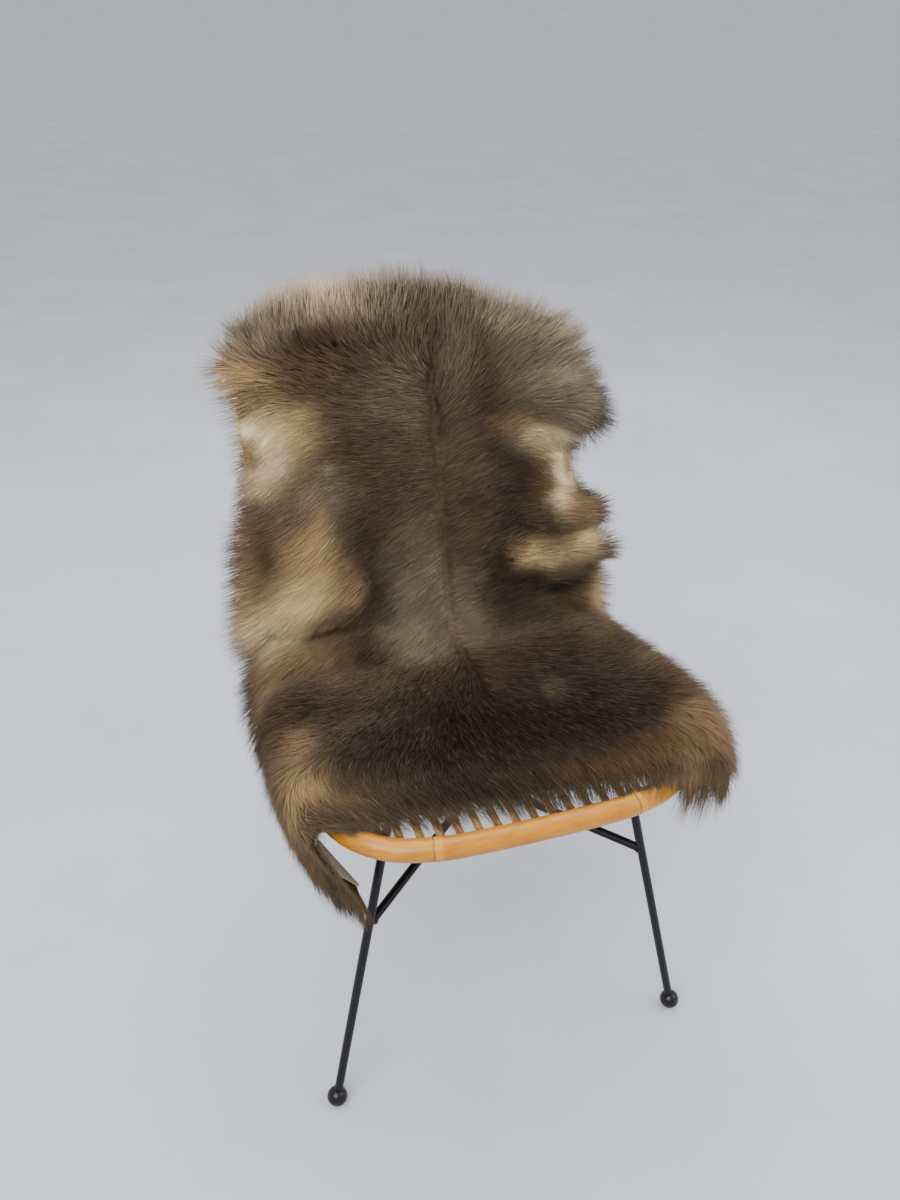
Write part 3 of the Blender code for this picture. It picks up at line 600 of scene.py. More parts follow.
def noise(tree, vector, scale, detail=3.0, rough=0.5):
    made = node(tree, "ShaderNodeTexNoise", {"Vector": vector, "Scale": scale, "Detail": detail,
                                             "Roughness": rough})
    return made.outputs["Fac"]


def attribute(tree, name, output="Fac"):
    made = node(tree, "ShaderNodeAttribute", attribute_name=name)
    return made.outputs[output]


def object_point(tree):
    return tree.nodes.new("ShaderNodeTexCoord").outputs["Object"]


def start_material(name, **constants):
    """A material with its shader, whose plain values are set on its own sockets."""
    material = bpy.data.materials.new(name)
    material.use_nodes = True
    shader = material.node_tree.nodes["Principled BSDF"]
    for key, value in constants.items():
        shader.inputs[key.replace("_", " ")].default_value = value
    return material, material.node_tree, shader


def bumped(tree, shader, height, distance, strength=1.0):
    bump = node(tree, "ShaderNodeBump", {"Height": height, "Distance": distance,
                                         "Strength": strength})
    tree.links.new(bump.outputs["Normal"], shader.inputs["Normal"])


def rgba(colour):
    return (*[float(c) for c in linear(colour)], 1.0)


def start_group(name, kind, inputs, outputs):
    """A node group with its sockets, and its input and output nodes."""
    group = bpy.data.node_groups.new(name, kind)
    for way, sockets in (("INPUT", inputs), ("OUTPUT", outputs)):
        for label, value in sockets:
            group.interface.new_socket(label, in_out=way, socket_type="NodeSocket" + value)
    return group, group.nodes.new("NodeGroupInput"), group.nodes.new("NodeGroupOutput")


def grain_group():
    """Long fibres and specks of peeled cane, along a piece's own map."""
    group, start, end = start_group(
        "cane grain", "ShaderNodeTree", [("Vector", "Vector"), ("Pitch", "Float")],
        [("Fibre", "Float"), ("Blotch", "Float")])
    way, pitch = start.outputs["Vector"], start.outputs["Pitch"]
    fine = noise(group, stretched(group, way, 0.06), pitch, 4.0, 0.6)
    coarse_pitch = maths(group, "MULTIPLY", pitch, 0.12)
    blotch = noise(group, stretched(group, way, 0.35), coarse_pitch, 3.0, 0.55)
    group.links.new(spread(group, fine, 0.30, 0.72), end.inputs["Fibre"])
    group.links.new(spread(group, blotch, 0.34, 0.68), end.inputs["Blotch"])
    return group


def dust_group():
    """Dust and fine scuffs: a paler colour and a rougher finish in soft specks."""
    group, start, end = start_group(
        "dust and scuffs", "ShaderNodeTree",
        [("Colour", "Color"), ("Roughness", "Float"), ("Amount", "Float"), ("Pitch", "Float")],
        [("Colour", "Color"), ("Roughness", "Float")])
    speck = spread(group, noise(group, object_point(group), start.outputs["Pitch"], 5.0, 0.65),
                   0.52, 0.75)
    mask = maths(group, "MULTIPLY", speck, start.outputs["Amount"], clamp=True)
    dusty = mixed(group, mask, start.outputs["Colour"], rgba((150, 146, 140)))
    group.links.new(dusty, end.inputs["Colour"])
    rough = maths(group, "ADD", start.outputs["Roughness"], maths(group, "MULTIPLY", mask, 0.35),
                  clamp=True)
    group.links.new(rough, end.inputs["Roughness"])
    return group


def use_group(tree, group, inputs):
    return node(tree, "ShaderNodeGroup", inputs, node_tree=group).outputs


def shared(name, build):
    return bpy.data.node_groups.get(name) or build()


def finish_with_dust(tree, shader, colour, roughness, amount, pitch):
    dusty = use_group(tree, shared("dust and scuffs", dust_group),
                      {"Colour": colour, "Roughness": roughness, "Amount": amount, "Pitch": pitch})
    tree.links.new(dusty["Colour"], shader.inputs["Base Color"])
    tree.links.new(dusty["Roughness"], shader.inputs["Roughness"])


# The hide's surface
def outline(column, along):
    """Value of an outline column, eased between its rows."""
    k = OUTLINE_COLUMNS.index(column)
    rows = np.array([row[0] for row in OUTLINE])
    values = np.array([row[k] for row in OUTLINE], float)
    i = np.clip(np.searchsorted(rows, along, side="right") - 1, 0, len(rows) - 2)
    t = ease((along - rows[i]) / (rows[i + 1] - rows[i]))
    return values[i] * (1 - t) + values[i + 1] * t


def half_width(along, side):
    """Half width of the outline, on the left where side is negative."""
    return np.where(side < 0, outline("left", along), outline("right", along))


def path_runs():
    """Length and turn of each straight or round run of the spine path."""
    over = UPRIGHT + math.radians(90)
    return [(SEAT_RUN, 0.0), (CORNER_R * UPRIGHT, UPRIGHT), (BACK_RUN, 0.0),
            (CROWN_R * over, -over), (FLAP_RUN, 0.0)]


HIDE_LENGTH = sum(length for length, _ in path_runs())


def spine_path(along):
    """y, z and direction angle of the underside at a distance along the spine."""
    runs = path_runs()
    y = np.full_like(along, HIDE_FRONT_Y)
    z = np.full_like(along, HIDE_SEAT_Z)
    angle = np.zeros_like(along)
    start = 0.0
    for i, (length, turn) in enumerate(runs):
        step = along - start
        if i > 0:
            step = np.maximum(step, 0.0)
        if i < len(runs) - 1:
            step = np.minimum(step, length)
        if turn:
            radius = length / turn
            after = angle + step / radius
            y = y + radius * (np.sin(after) - np.sin(angle))
            z = z - radius * (np.cos(after) - np.cos(angle))
            angle = after
        else:
            y = y + step * np.cos(angle)
            z = z + step * np.sin(angle)
        start += length
    return y, z, angle


def drape(along, share):
    """Point of the unfolded hide at a distance along the spine and a share of its half width."""
    left = share < 0
    side = np.where(left, -1.0, 1.0)
    half = half_width(along, share)
    carried = outline("carried", along) - side * SPINE_X
    bend = np.radians(np.where(left, outline("left_bend", along), outline("right_bend", along)))
    across = np.abs(share) * half
    hang = np.maximum(across - carried, 0.0)
    skew = SKEW * side * np.minimum(across, SKEW_REACH) * np.clip(1 - along / SKEW_RUN, 0, 1)
    fade = ease(1 - (along - SWEEP_START) / SWEEP_RUN)
    sweep = np.where(left, SWEEP_LEFT, SWEEP_RIGHT) * hang * fade
    y, z, angle = spine_path(along - skew - sweep)
    loose = np.maximum(hang - CURL_SLACK, 0.0) * ease(1 - (along - CURL_START) / CURL_RUN)
    curl = np.where(left, CURL_LEFT, CURL_RIGHT) * loose
    slip = np.zeros_like(across)
    for hand, depth, start, run in CROWN_SLIPS:
        slip = slip + np.where(side == hand, depth * ease((across - start) / run), 0.0)
    slip = slip * ease((along - SLIP_START) / SLIP_RUN)
    y = y - slip * math.sin(LEAN)
    z = z - slip * math.cos(LEAN)
    x = np.zeros_like(across)
    drop = np.zeros_like(across)
    for k in range(ACROSS_STEPS):
        at = across * (k + 0.5) / ACROSS_STEPS
        slope = bend * ease((at - (carried - BEND_RUN / 2)) / BEND_RUN)
        x = x + np.cos(slope) * across / ACROSS_STEPS
        drop = drop + np.sin(slope) * across / ACROSS_STEPS
    x = x - curl
    point = np.stack([SPINE_X + side * x, y + drop * np.sin(angle), z - drop * np.cos(angle)], -1)
    return point + np.array(PLACE)


def fold_height(along, across):
    height = np.zeros_like(along)
    for a0, w0, a1, w1, reach, rise in FOLDS:
        run = np.array([a1 - a0, w1 - w0])
        t = np.clip(((along - a0) * run[0] + (across - w0) * run[1]) / (run @ run), 0, 1)
        away = np.hypot(along - a0 - t * run[0], across - w0 - t * run[1])
        height = height + rise * np.exp(-(away / reach) ** 2)
    return height


def bareness(along, across):
    """0 in full fleece, up to 1 where the coat is nearly bare."""
    bare = np.zeros_like(along)
    for at, over, long, wide in BARE:
        bare = np.maximum(bare, np.exp(-((along - at) / long) ** 4 - ((across - over) / wide) ** 4))
    return bare


def pile_height(along, across, edge):
    """Depth of hide and hair above the underside: lumpy, thin at the edge and on bare patches."""
    wander = LUMP_WANDER * np.sin(across * WANDER_ACROSS)
    lumps = np.sin(along * LUMPS_ALONG + wander) * np.sin(across * LUMPS_ACROSS)
    depth = EDGE_PILE + (PILE - EDGE_PILE + LUMP * lumps) * ease(edge / EDGE_RUN)
    return depth * (1 - BARE_DEPTH * bareness(along, across))


def normals(points):
    """Unit normals on the hair side of a grid of points."""
    n = np.cross(np.gradient(points, axis=1), np.gradient(points, axis=0))
    return n / np.linalg.norm(n, axis=-1, keepdims=True)


def unit(v):
    return v / np.maximum(np.linalg.norm(v, axis=-1, keepdims=True), 1e-9)


def edge_distance(along, across):
    return np.minimum(half_width(along, across) - np.abs(across),
                      np.minimum(along + FRONT_EXTRA, HIDE_LENGTH - along))


class Surface:
    """The draped hide on a fine grid, with everything that the pieces on it need."""

    def __init__(self, thickness):
        rows = np.linspace(-FRONT_EXTRA, HIDE_LENGTH, GRID_ROWS + 1)
        shares = np.linspace(-1, 1, GRID_COLUMNS + 1)
        self.along, self.share = np.meshgrid(rows, shares, indexing="ij")
        self.across = self.share * half_width(self.along, self.share)
        plain = drape(self.along, self.share)
        self.under = plain + normals(plain) * fold_height(self.along, self.across)[..., None]
        self.normal = normals(self.under)
        edge = edge_distance(self.along, self.across)
        self.depth = pile_height(self.along, self.across, edge)
        self.leather = self.under + self.normal * thickness
        wool = np.maximum(self.depth * WOOL_SHARE, thickness + WOOL_LEAST)
        self.wool = self.under + self.normal * wool[..., None]
        self.toward_along = unit(np.gradient(self.under, axis=0))
        self.toward_across = unit(np.gradient(self.under, axis=1))

    def at_edge(self, distance):
        """Outward moves of a distance that fade from the edge inwards."""
        near = ease(1 - edge_distance(self.along, self.across) / EDGE_BAND)
        out = self.toward_across * np.sign(self.across)[..., None]
        return out * (distance * near)[..., None]

    def index(self, along, across):
        """Fractional grid position of an unfolded point."""
        share = np.clip(across / half_width(along, across), -1, 1)
        i = np.clip((along + FRONT_EXTRA) / (HIDE_LENGTH + FRONT_EXTRA), 0, 1) * GRID_ROWS
        return i, (share + 1) / 2 * GRID_COLUMNS

    @staticmethod
    def pick(values, i, j):
        """Values between the grid's points."""
        low_i = np.clip(np.floor(i).astype(int), 0, values.shape[0] - 2)
        low_j = np.clip(np.floor(j).astype(int), 0, values.shape[1] - 2)
        t, u = i - low_i, j - low_j
        if values.ndim == 3:
            t, u = t[:, None], u[:, None]
        near = values[low_i, low_j] * (1 - u) + values[low_i, low_j + 1] * u
        far = values[low_i + 1, low_j] * (1 - u) + values[low_i + 1, low_j + 1] * u
        return near * (1 - t) + far * t


def slab(name, low, high, material):
    """A closed sheet between two grids of points, with one map tile for each side."""
    n_rows, n_cols = low.shape[:2]
    top = n_rows * n_cols
    grid = np.arange(top).reshape(n_rows, n_cols)
    a, b, c, d = grid[:-1, :-1], grid[1:, :-1], grid[1:, 1:], grid[:-1, 1:]
    under = np.stack([a, b, c, d], -1).reshape(-1, 4)
    over = np.stack([a, d, c, b], -1).reshape(-1, 4) + top
    ring = np.concatenate([grid[0], grid[1:, -1], grid[-1, -2::-1], grid[-2:0:-1, 0]])
    after = np.roll(ring, -1)
    wall = np.stack([ring, after, after + top, ring + top], -1)
    verts = np.concatenate([low.reshape(-1, 3), high.reshape(-1, 3)])
    faces = np.concatenate([under, over, wall])
    obj = add_mesh(name, verts, faces.tolist(), material)
    u, v = np.meshgrid(np.linspace(*TILE_WIDE, n_cols), np.linspace(*TILE_HIGH, n_rows))
    flat = np.stack([u, v], -1).reshape(-1, 2)
    tile = np.concatenate([flat, flat + (TILE_SHIFT, 0.0)])
    corner = tile[faces.ravel()].reshape(-1, 4, 2)
    strip = np.linspace(*WALL_WIDE, len(wall) + 1)
    corner[-len(wall):, :, 0] = np.stack([strip[:-1], strip[1:], strip[1:], strip[:-1]], -1)
    corner[-len(wall):, :, 1] = np.repeat(WALL_HIGH, 2)
    layer = obj.data.uv_layers.new(name="OFBake")
    layer.data.foreach_set("uv", corner.astype(np.float32).ravel())
    return obj


# Coat
def coat_colour(along, across):
    """Linear colour of the coat at points of the unfolded hide."""
    stray_a, stray_c = (sum(size * ripple(along, across, pitch, seed + k)
                            for k, (pitch, size) in enumerate(COAT_STRAYS)) for seed in (11, 13))
    colour = np.broadcast_to(linear(COAT["stone"]), (*along.shape, 3)).copy()
    for at_c, at_a, reach_c, reach_a, name, amount in PATCHES:
        share = min(reach_c, reach_a) / COAT_STRAY_REACH
        c, a = across + stray_c * min(share, 1.0), along + stray_a * min(share, 1.0)
        away = ((c - at_c) / reach_c) ** 2 + ((a - at_a) / reach_a) ** 2
        weight = (amount * np.exp(-away ** COAT_EDGE))[..., None]
        colour = colour * (1 - weight) + linear(COAT[name]) * weight
    at_c, reach, name, amount = SPINE_STRIPE
    stray = STRIPE_STRAY * ripple(along, across * 0, STRIPE_PITCH, 15)
    weight = (amount * np.exp(-((across - at_c - stray) / reach) ** 2))[..., None]
    colour = colour * (1 - weight) + linear(COAT[name]) * weight
    tone = sum(depth * ripple(along, across, pitch, 31 + k)
               for k, (pitch, depth) in enumerate(MOTTLE))
    return colour * np.exp(tone)[..., None]


def hair_lie(along, across):
    """Heading in the unfolded hide, lift and length of the hair at its points."""
    table = np.array(LIE)
    total = np.zeros((*along.shape, 4))
    weights = np.zeros(along.shape)
    for row in table:
        away = ((across - row[0]) ** 2 + (along - row[1]) ** 2) / LIE_REACH ** 2
        beyond = (across - SPINE_STRIPE[0]) * row[0] < 0
        weight = np.exp(-away) * np.where(beyond, PARTING, 1) + 1e-9
        total += weight[..., None] * row[2:]
        weights += weight
    lie = total / weights[..., None]
    heading = unit(lie[..., :2])
    out_c = edge_distance(along, across - EDGE_STEP) - edge_distance(along, across + EDGE_STEP)
    out_a = edge_distance(along - EDGE_STEP, across) - edge_distance(along + EDGE_STEP, across)
    outward = unit(np.stack([out_c, out_a], -1))
    fan = ease(1 - edge_distance(along, across) / RIM_FAN)[..., None] * FAN_SHARE
    heading = unit(heading * (1 - fan) + outward * fan)
    return heading, np.radians(lie[..., 2]) * (1 - fan[..., 0]), lie[..., 3]


def clump_centres(rng):
    """A jittered lattice of tuft centres over the unfolded hide, and the lattice's size."""
    rows = int((HIDE_LENGTH + FRONT_EXTRA) / CLUMP_PITCH) + 3
    columns = int(CLUMP_SPAN / CLUMP_PITCH) + 3
    jitter = rng.uniform(-CLUMP_JITTER, CLUMP_JITTER, (rows, columns, 2))
    i, j = np.meshgrid(np.arange(rows), np.arange(columns), indexing="ij")
    along = (i - 1 + jitter[..., 0]) * CLUMP_PITCH - FRONT_EXTRA
    across = (j - columns / 2 + jitter[..., 1]) * CLUMP_PITCH
    return along, across


def rim_hang(along, across):
    """Sideways and downward lean, added length and density of the hair at the rim."""
    hang = np.broadcast_to(np.array(RIM_HANG), (*along.shape, 4)).copy()
    for start, end, reach, *values in reversed(RIM_HANGS):
        hang[(across > start) & (across <= end) & (along < reach)] = values
    at_rim = ease(1 - edge_distance(along, across) / RIM_FAN) * (1 - bareness(along, across))
    lean = np.stack([hang[..., 0], 0 * along, -hang[..., 1]], -1) * at_rim[..., None]
    return lean, 1 + hang[..., 2] * at_rim, hang[..., 3], at_rim


def nearest_clump(centres, along, across):
    """Index of the tuft centre nearest to each point."""
    centre_along, centre_across = centres
    rows, columns = centre_along.shape
    base_i = np.rint((along + FRONT_EXTRA) / CLUMP_PITCH + 1).astype(int)
    base_j = np.rint(across / CLUMP_PITCH + columns / 2).astype(int)
    best = np.full(along.shape, np.inf)
    found = np.zeros(along.shape, int)
    for di in (-1, 0, 1):
        for dj in (-1, 0, 1):
            i = np.clip(base_i + di, 0, rows - 1)
            j = np.clip(base_j + dj, 0, columns - 1)
            away = (centre_along[i, j] - along) ** 2 + (centre_across[i, j] - across) ** 2
            nearer = away < best
            best = np.where(nearer, away, best)
            found = np.where(nearer, i * columns + j, found)
    return found


def scatter(surface, count, rng):
    """Grid positions spread evenly over the hide, and thicker at its rim."""
    p = surface.leather
    area = np.linalg.norm(np.cross(p[1:, 1:] - p[:-1, :-1], p[1:, :-1] - p[:-1, 1:]), axis=-1) / 2
    along = surface.along[:-1, :-1] + np.diff(surface.along, axis=0)[:, :-1] / 2
    across = (surface.across[:-1, :-1] + surface.across[1:, 1:]) / 2
    share = np.ones_like(area)
    for _, start, end, density in FLEECE:
        share = np.where((along >= start) & (along < end), density, share)
    rim = edge_distance(along, across) < RIM_WIDTH
    thick = rim_hang(along, across)[2]
    share = np.where(rim, thick, share) * (1 - BARE_THINNING * bareness(along, across) ** 2)
    weight = np.cumsum((area * share).ravel())
    pick = (np.arange(count) + rng.random(count)) / count * weight[-1]
    cell = np.searchsorted(weight, pick)
    cell = np.minimum(cell, area.size - 1)
    return cell // area.shape[1] + rng.random(count), cell % area.shape[1] + rng.random(count)


def lock_kinds():
    """Lock meshes of unit length and girth: some bowed ones, and a straight fine one."""
    kinds = bpy.data.collections.new("lock_kinds")
    shapes = [[(0.0, 0.0, 0.0, 0.8), (bulge, sway, 0.5, 1.0)] for bulge, sway in CURVED_KINDS]
    shapes.append([(0.0, 0.0, 0.0, 1.0)])
    for k, rings in enumerate(shapes):
        verts = []
        for x, y, z, radius in rings:
            for side in range(LOCK_SIDES):
                turn = side * math.tau / LOCK_SIDES
                verts.append((x + radius * math.cos(turn), y + radius * math.sin(turn), z))
        verts.append((0.0, 0.0, 1.0))
        tip = len(verts) - 1
        last = LOCK_SIDES * (len(rings) - 1)
        faces, spots = [(2, 1, 0)], [[(0.1, 0.02), (0.5, 0.06), (0.9, 0.02)]]
        for side in range(LOCK_SIDES):
            after = (side + 1) % LOCK_SIDES
            low, high = side / LOCK_SIDES + 0.03, (side + 1) / LOCK_SIDES - 0.03
            if last:
                faces.append((side, after, last + after, last + side))
                spots.append([(low, 0.1), (high, 0.1), (high, 0.55), (low, 0.55)])
            start = 0.55 if last else 0.1
            faces.append((last + side, last + after, tip))
            spots.append([(low, start), (high, start), ((low + high) / 2, 0.97)])
        mesh = bpy.data.meshes.new(f"lock_kind_{k}")
        mesh.from_pydata(verts, [], faces)
        mesh.shade_smooth()
        set_values(mesh, "tip", "FLOAT", "POINT", [v[2] for v in verts])
        set_values(mesh, "spot", "FLOAT2", "CORNER", np.concatenate([np.array(s) for s in spots]),
                   "vector")
        kinds.objects.link(bpy.data.objects.new(f"lock_kind_{k}", mesh))
    return kinds


def stored(tree, name, kind="FLOAT"):
    made = node(tree, "GeometryNodeInputNamedAttribute", {"Name": name}, data_type=kind)
    return made.outputs["Attribute"]


def store(tree, geometry, name, value, kind, domain="POINT"):
    made = node(tree, "GeometryNodeStoreNamedAttribute",
                {"Geometry": geometry, "Name": name, "Value": value}, data_type=kind, domain=domain)
    return made.outputs[0]


def lock_tree(kinds, material):
    """Geometry nodes that set a lock on each point and turn, size and map it."""
    tree, start, end = start_group(
        "set locks", "GeometryNodeTree",
        [("Geometry", "Geometry"), ("Length", "Float"), ("Girth", "Float"), ("Cell", "Float")],
        [("Geometry", "Geometry")])
    aimed = node(tree, "FunctionNodeAlignRotationToVector",
                 {"Vector": stored(tree, "aim", "FLOAT_VECTOR")}, axis="Z")
    turned = node(tree, "FunctionNodeAlignRotationToVector",
                  {"Rotation": aimed.outputs[0], "Vector": stored(tree, "over", "FLOAT_VECTOR")},
                  axis="X", pivot_axis="Z")
    girth = maths(tree, "MULTIPLY", stored(tree, "girth"), start.outputs["Girth"])
    reach = maths(tree, "MULTIPLY", stored(tree, "reach"), start.outputs["Length"])
    scale = node(tree, "ShaderNodeCombineXYZ", {0: girth, 1: girth, 2: reach}).outputs[0]
    stock = node(tree, "GeometryNodeCollectionInfo", {"Collection": kinds, "Separate Children": True,
                                                      "Reset Children": True})
    locks = node(tree, "GeometryNodeInstanceOnPoints",
                 {"Points": start.outputs["Geometry"], "Instance": stock.outputs[0],
                  "Pick Instance": True, "Instance Index": stored(tree, "kind", "INT"),
                  "Rotation": turned.outputs[0], "Scale": scale})
    real = node(tree, "GeometryNodeRealizeInstances", {"Geometry": locks.outputs[0]})
    spot = scaled(tree, stored(tree, "spot", "FLOAT_VECTOR"), start.outputs["Cell"])
    place = node(tree, "ShaderNodeVectorMath",
                 {0: spot, 1: stored(tree, "cell", "FLOAT_VECTOR")}, operation="ADD")
    mapped = store(tree, real.outputs[0], "OFBake", place.outputs[0], "FLOAT2", "CORNER")
    dressed = node(tree, "GeometryNodeSetMaterial", {"Geometry": mapped, "Material": material})
    tree.links.new(dressed.outputs[0], end.inputs[0])
    return tree


def grow(name, mesh, tree, inputs, helpers):
    """A plain mesh made from guide points by a node tree, without the helper attributes."""
    guide = add_object(name + "_guide", mesh)
    modifier = guide.modifiers.new("grow", "NODES")
    modifier.node_group = tree
    for item in tree.interface.items_tree:
        if item.in_out == "INPUT" and item.name in inputs:
            modifier[item.identifier] = inputs[item.name]
    evaluated = guide.evaluated_get(bpy.context.evaluated_depsgraph_get())
    made = bpy.data.meshes.new_from_object(evaluated)
    bpy.data.objects.remove(guide)
    made.name = name
    for key in helpers:
        if key in made.attributes:
            made.attributes.remove(made.attributes[key])
    return made


def set_locks(name, tree, hairs, length, girth):
    """One fleece piece: its points, its locks made real, and nothing else left on it."""
    count = len(hairs["root"])
    side = math.ceil(math.sqrt(count))
    number = np.arange(count)
    cell = np.stack([number % side, number // side, np.zeros(count)], -1) / side
    mesh = bpy.data.meshes.new(name + "_guide")
    mesh.from_pydata(hairs["root"].tolist(), [], [])
    for key in ("aim", "over"):
        set_values(mesh, key, "FLOAT_VECTOR", "POINT", hairs[key], "vector")
    set_values(mesh, "cell", "FLOAT_VECTOR", "POINT", cell, "vector")
    for key in ("reach", "girth", "strand"):
        set_values(mesh, key, "FLOAT", "POINT", hairs[key])
    kind = mesh.attributes.new("kind", "INT", "POINT")
    kind.data.foreach_set("value", hairs["kind"].astype(np.int32))
    set_coat(mesh, hairs["coat"])
    made = grow(name, mesh, tree, {"Length": length, "Girth": girth, "Cell": 1 / side},
                ("aim", "over", "cell", "spot", "reach", "girth", "kind"))
    return add_object(name, made)


def lie_at(surface, along, across, i, j):
    """Lie of the hair at some points, with the surface's two ways and its normal there."""
    return (*hair_lie(along, across), surface.pick(surface.toward_across, i, j),
            surface.pick(surface.toward_along, i, j), unit(surface.pick(surface.normal, i, j)))


def aim_hair(heading, lift, toward_across, toward_along, normal):
    """Direction of each hair, from its heading over the hide and its lift off it."""
    flat = unit(toward_across * heading[:, :1] + toward_along * heading[:, 1:])
    return unit(flat * np.cos(lift)[:, None] + normal * np.sin(lift)[:, None])


def turn_heading(heading, angle):
    c, s = np.cos(angle), np.sin(angle)
    return np.stack([heading[:, 0] * c - heading[:, 1] * s,
                     heading[:, 0] * s + heading[:, 1] * c], -1)


def keep_near(root, run):
    """Hair runs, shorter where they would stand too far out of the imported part's box."""
    low, high = (np.array(list(corner)) for corner in CAD_BOX)
    room = np.where(run > 0, high + PROUD - root, root - low + PROUD)
    return run * np.clip(np.min(room / (np.abs(run) + 1e-9), axis=-1), 0, 1)[:, None]


def comb_hair(surface, settings):
    """Root, heading, size, kind and colour of every hair on the hide."""
    rng = np.random.default_rng(settings.seed)
    count = settings.hairs
    i, j = scatter(surface, count, rng)
    along = surface.pick(surface.along, i, j)
    across = surface.pick(surface.across, i, j)

    centres = clump_centres(rng)
    clump_a = np.clip(centres[0].ravel(), -FRONT_EXTRA, HIDE_LENGTH)
    clump_c = centres[1].ravel()
    clump_c = np.clip(clump_c, -outline("left", clump_a), outline("right", clump_a))
    gi, gj = surface.index(clump_a, clump_c)
    heading, lift, length, *ways = lie_at(surface, clump_a, clump_c, gi, gj)
    clumps = len(clump_a)
    clump_turn = rng.normal(0, TUFT_SCATTER["heading"], clumps)
    heading = turn_heading(heading, clump_turn)
    lift = lift + rng.normal(0, TUFT_SCATTER["lift"], clumps)
    clump_size = rng.uniform(TUFT_SCATTER["low"], TUFT_SCATTER["high"], clumps)
    clump_tone = rng.normal(0, TUFT_SCATTER["tone"], clumps)
    lean, growth, _, _ = rim_hang(clump_a, clump_c)
    clump_tip = (surface.pick(surface.wool, gi, gj)
                 + (aim_hair(heading, lift, *ways) + lean)
                 * (length * clump_size * growth)[:, None])

    clump = nearest_clump(centres, along, across)
    heading, lift, length, *ways = lie_at(surface, along, across, i, j)
    heading = turn_heading(heading, clump_turn[clump] + rng.normal(0, HAIR_SCATTER["heading"], count))
    lift = lift + rng.normal(0, HAIR_SCATTER["lift"], count)
    length = length * clump_size[clump]
    length = length * rng.uniform(HAIR_SCATTER["low"], HAIR_SCATTER["high"], count)
    lean, growth, _, at_rim = rim_hang(along, across)
    length = length * growth
    root = surface.pick(surface.wool, i, j) - ways[-1] * ROOT_DEPTH
    tip = root + (aim_hair(heading, lift, *ways) + lean) * length[:, None]
    pull = (rng.uniform(*TUFT_PULL, count) + RIM_PULL * at_rim * rng.random(count))[:, None]
    tip = tip * (1 - pull) + clump_tip[clump] * pull
    run = keep_near(root, tip - root)
    reach = np.minimum(np.linalg.norm(run, axis=-1), LONGEST * length)
    fine = rng.random(count) < FINE_SHARE
    tone = np.exp(clump_tone[clump] + rng.normal(0, HAIR_SCATTER["tone"], count))
    seen = heading * (COLOUR_REACH * length * np.cos(lift))[:, None]
    colour = coat_colour(along + seen[:, 1], across + seen[:, 0])
    return {
        "root": root, "aim": unit(run), "over": ways[-1], "reach": reach,
        "girth": np.where(fine, FINE_GIRTH, CURVED_GIRTH) * rng.uniform(*GIRTH_SCATTER, count),
        "kind": np.where(fine, len(CURVED_KINDS), rng.integers(0, len(CURVED_KINDS), count)),
        "strand": rng.random(count),
        "coat": np.clip(colour * tone[:, None], 0, 1), "along": along,
        "edge": edge_distance(along, across),
    }


# Materials
def make_leather():
    """Pale tanned suede: mottled, with a soft nap and faint veins."""
    material, tree, shader = start_material("tanned suede", Specular_IOR_Level=0.25)
    point = object_point(tree)
    cloud = noise(tree, point, 22.0, 5.0, 0.6)
    soft = spread(tree, cloud, 0.35, 0.7)
    skin = mixed(tree, soft, rgba((226, 200, 148)), rgba((240, 220, 174)))
    # The flesh side is pale suede; its grey here is painted shade, as it looks when turned from the
    # light
    flesh = mixed(tree, soft, rgba((122, 114, 101)), rgba((144, 136, 123)))
    colour = mixed(tree, attribute(tree, "flesh"), skin, flesh)
    vein = node(tree, "ShaderNodeTexVoronoi", {"Vector": point, "Scale": 30.0},
                feature="DISTANCE_TO_EDGE").outputs["Distance"]
    vein = maths(tree, "SUBTRACT", 1.0, spread(tree, vein, 0.0, 0.05))
    colour = tinted(tree, colour, vein, 0.18, (150, 122, 96))
    tree.links.new(colour, shader.inputs["Base Color"])
    nap = noise(tree, point, 900.0, 3.0, 0.7)
    tree.links.new(spread(tree, nap, 0.3, 0.7, 0.82, 0.95), shader.inputs["Roughness"])
    height = maths(tree, "ADD", nap, maths(tree, "MULTIPLY", cloud, 2.5))
    bumped(tree, shader, height, 0.0006, 0.6)
    return material


def make_underwool():
    """Matted wool near the skin: the coat over it, darkened by painted shade deep in the pile, less
    on the tufts' tops and on pale coats.
    """
    material, tree, shader = start_material("underwool", Specular_IOR_Level=0.15, Roughness=0.95)
    point = object_point(tree)
    tuft = noise(tree, point, 160.0, 4.0, 0.65)
    coat = attribute(tree, "coat", "Color")
    # Painted shade: a shaded and a lit copy of the coat, mixed by the tufts
    dark = mixed(tree, 1.0, coat, (0.30, 0.27, 0.24, 1.0), "MULTIPLY")
    lit = mixed(tree, 1.0, coat, (0.52, 0.49, 0.46, 1.0), "MULTIPLY")
    colour = mixed(tree, spread(tree, tuft, 0.35, 0.7), dark, lit)
    shade = node(tree, "ShaderNodeRGBToBW", {"Color": coat}).outputs[0]
    colour = mixed(tree, spread(tree, shade, 0.30, 0.75, 0.0, 0.9), colour, coat)
    tree.links.new(colour, shader.inputs["Base Color"])
    bumped(tree, shader, tuft, 0.004)
    return material


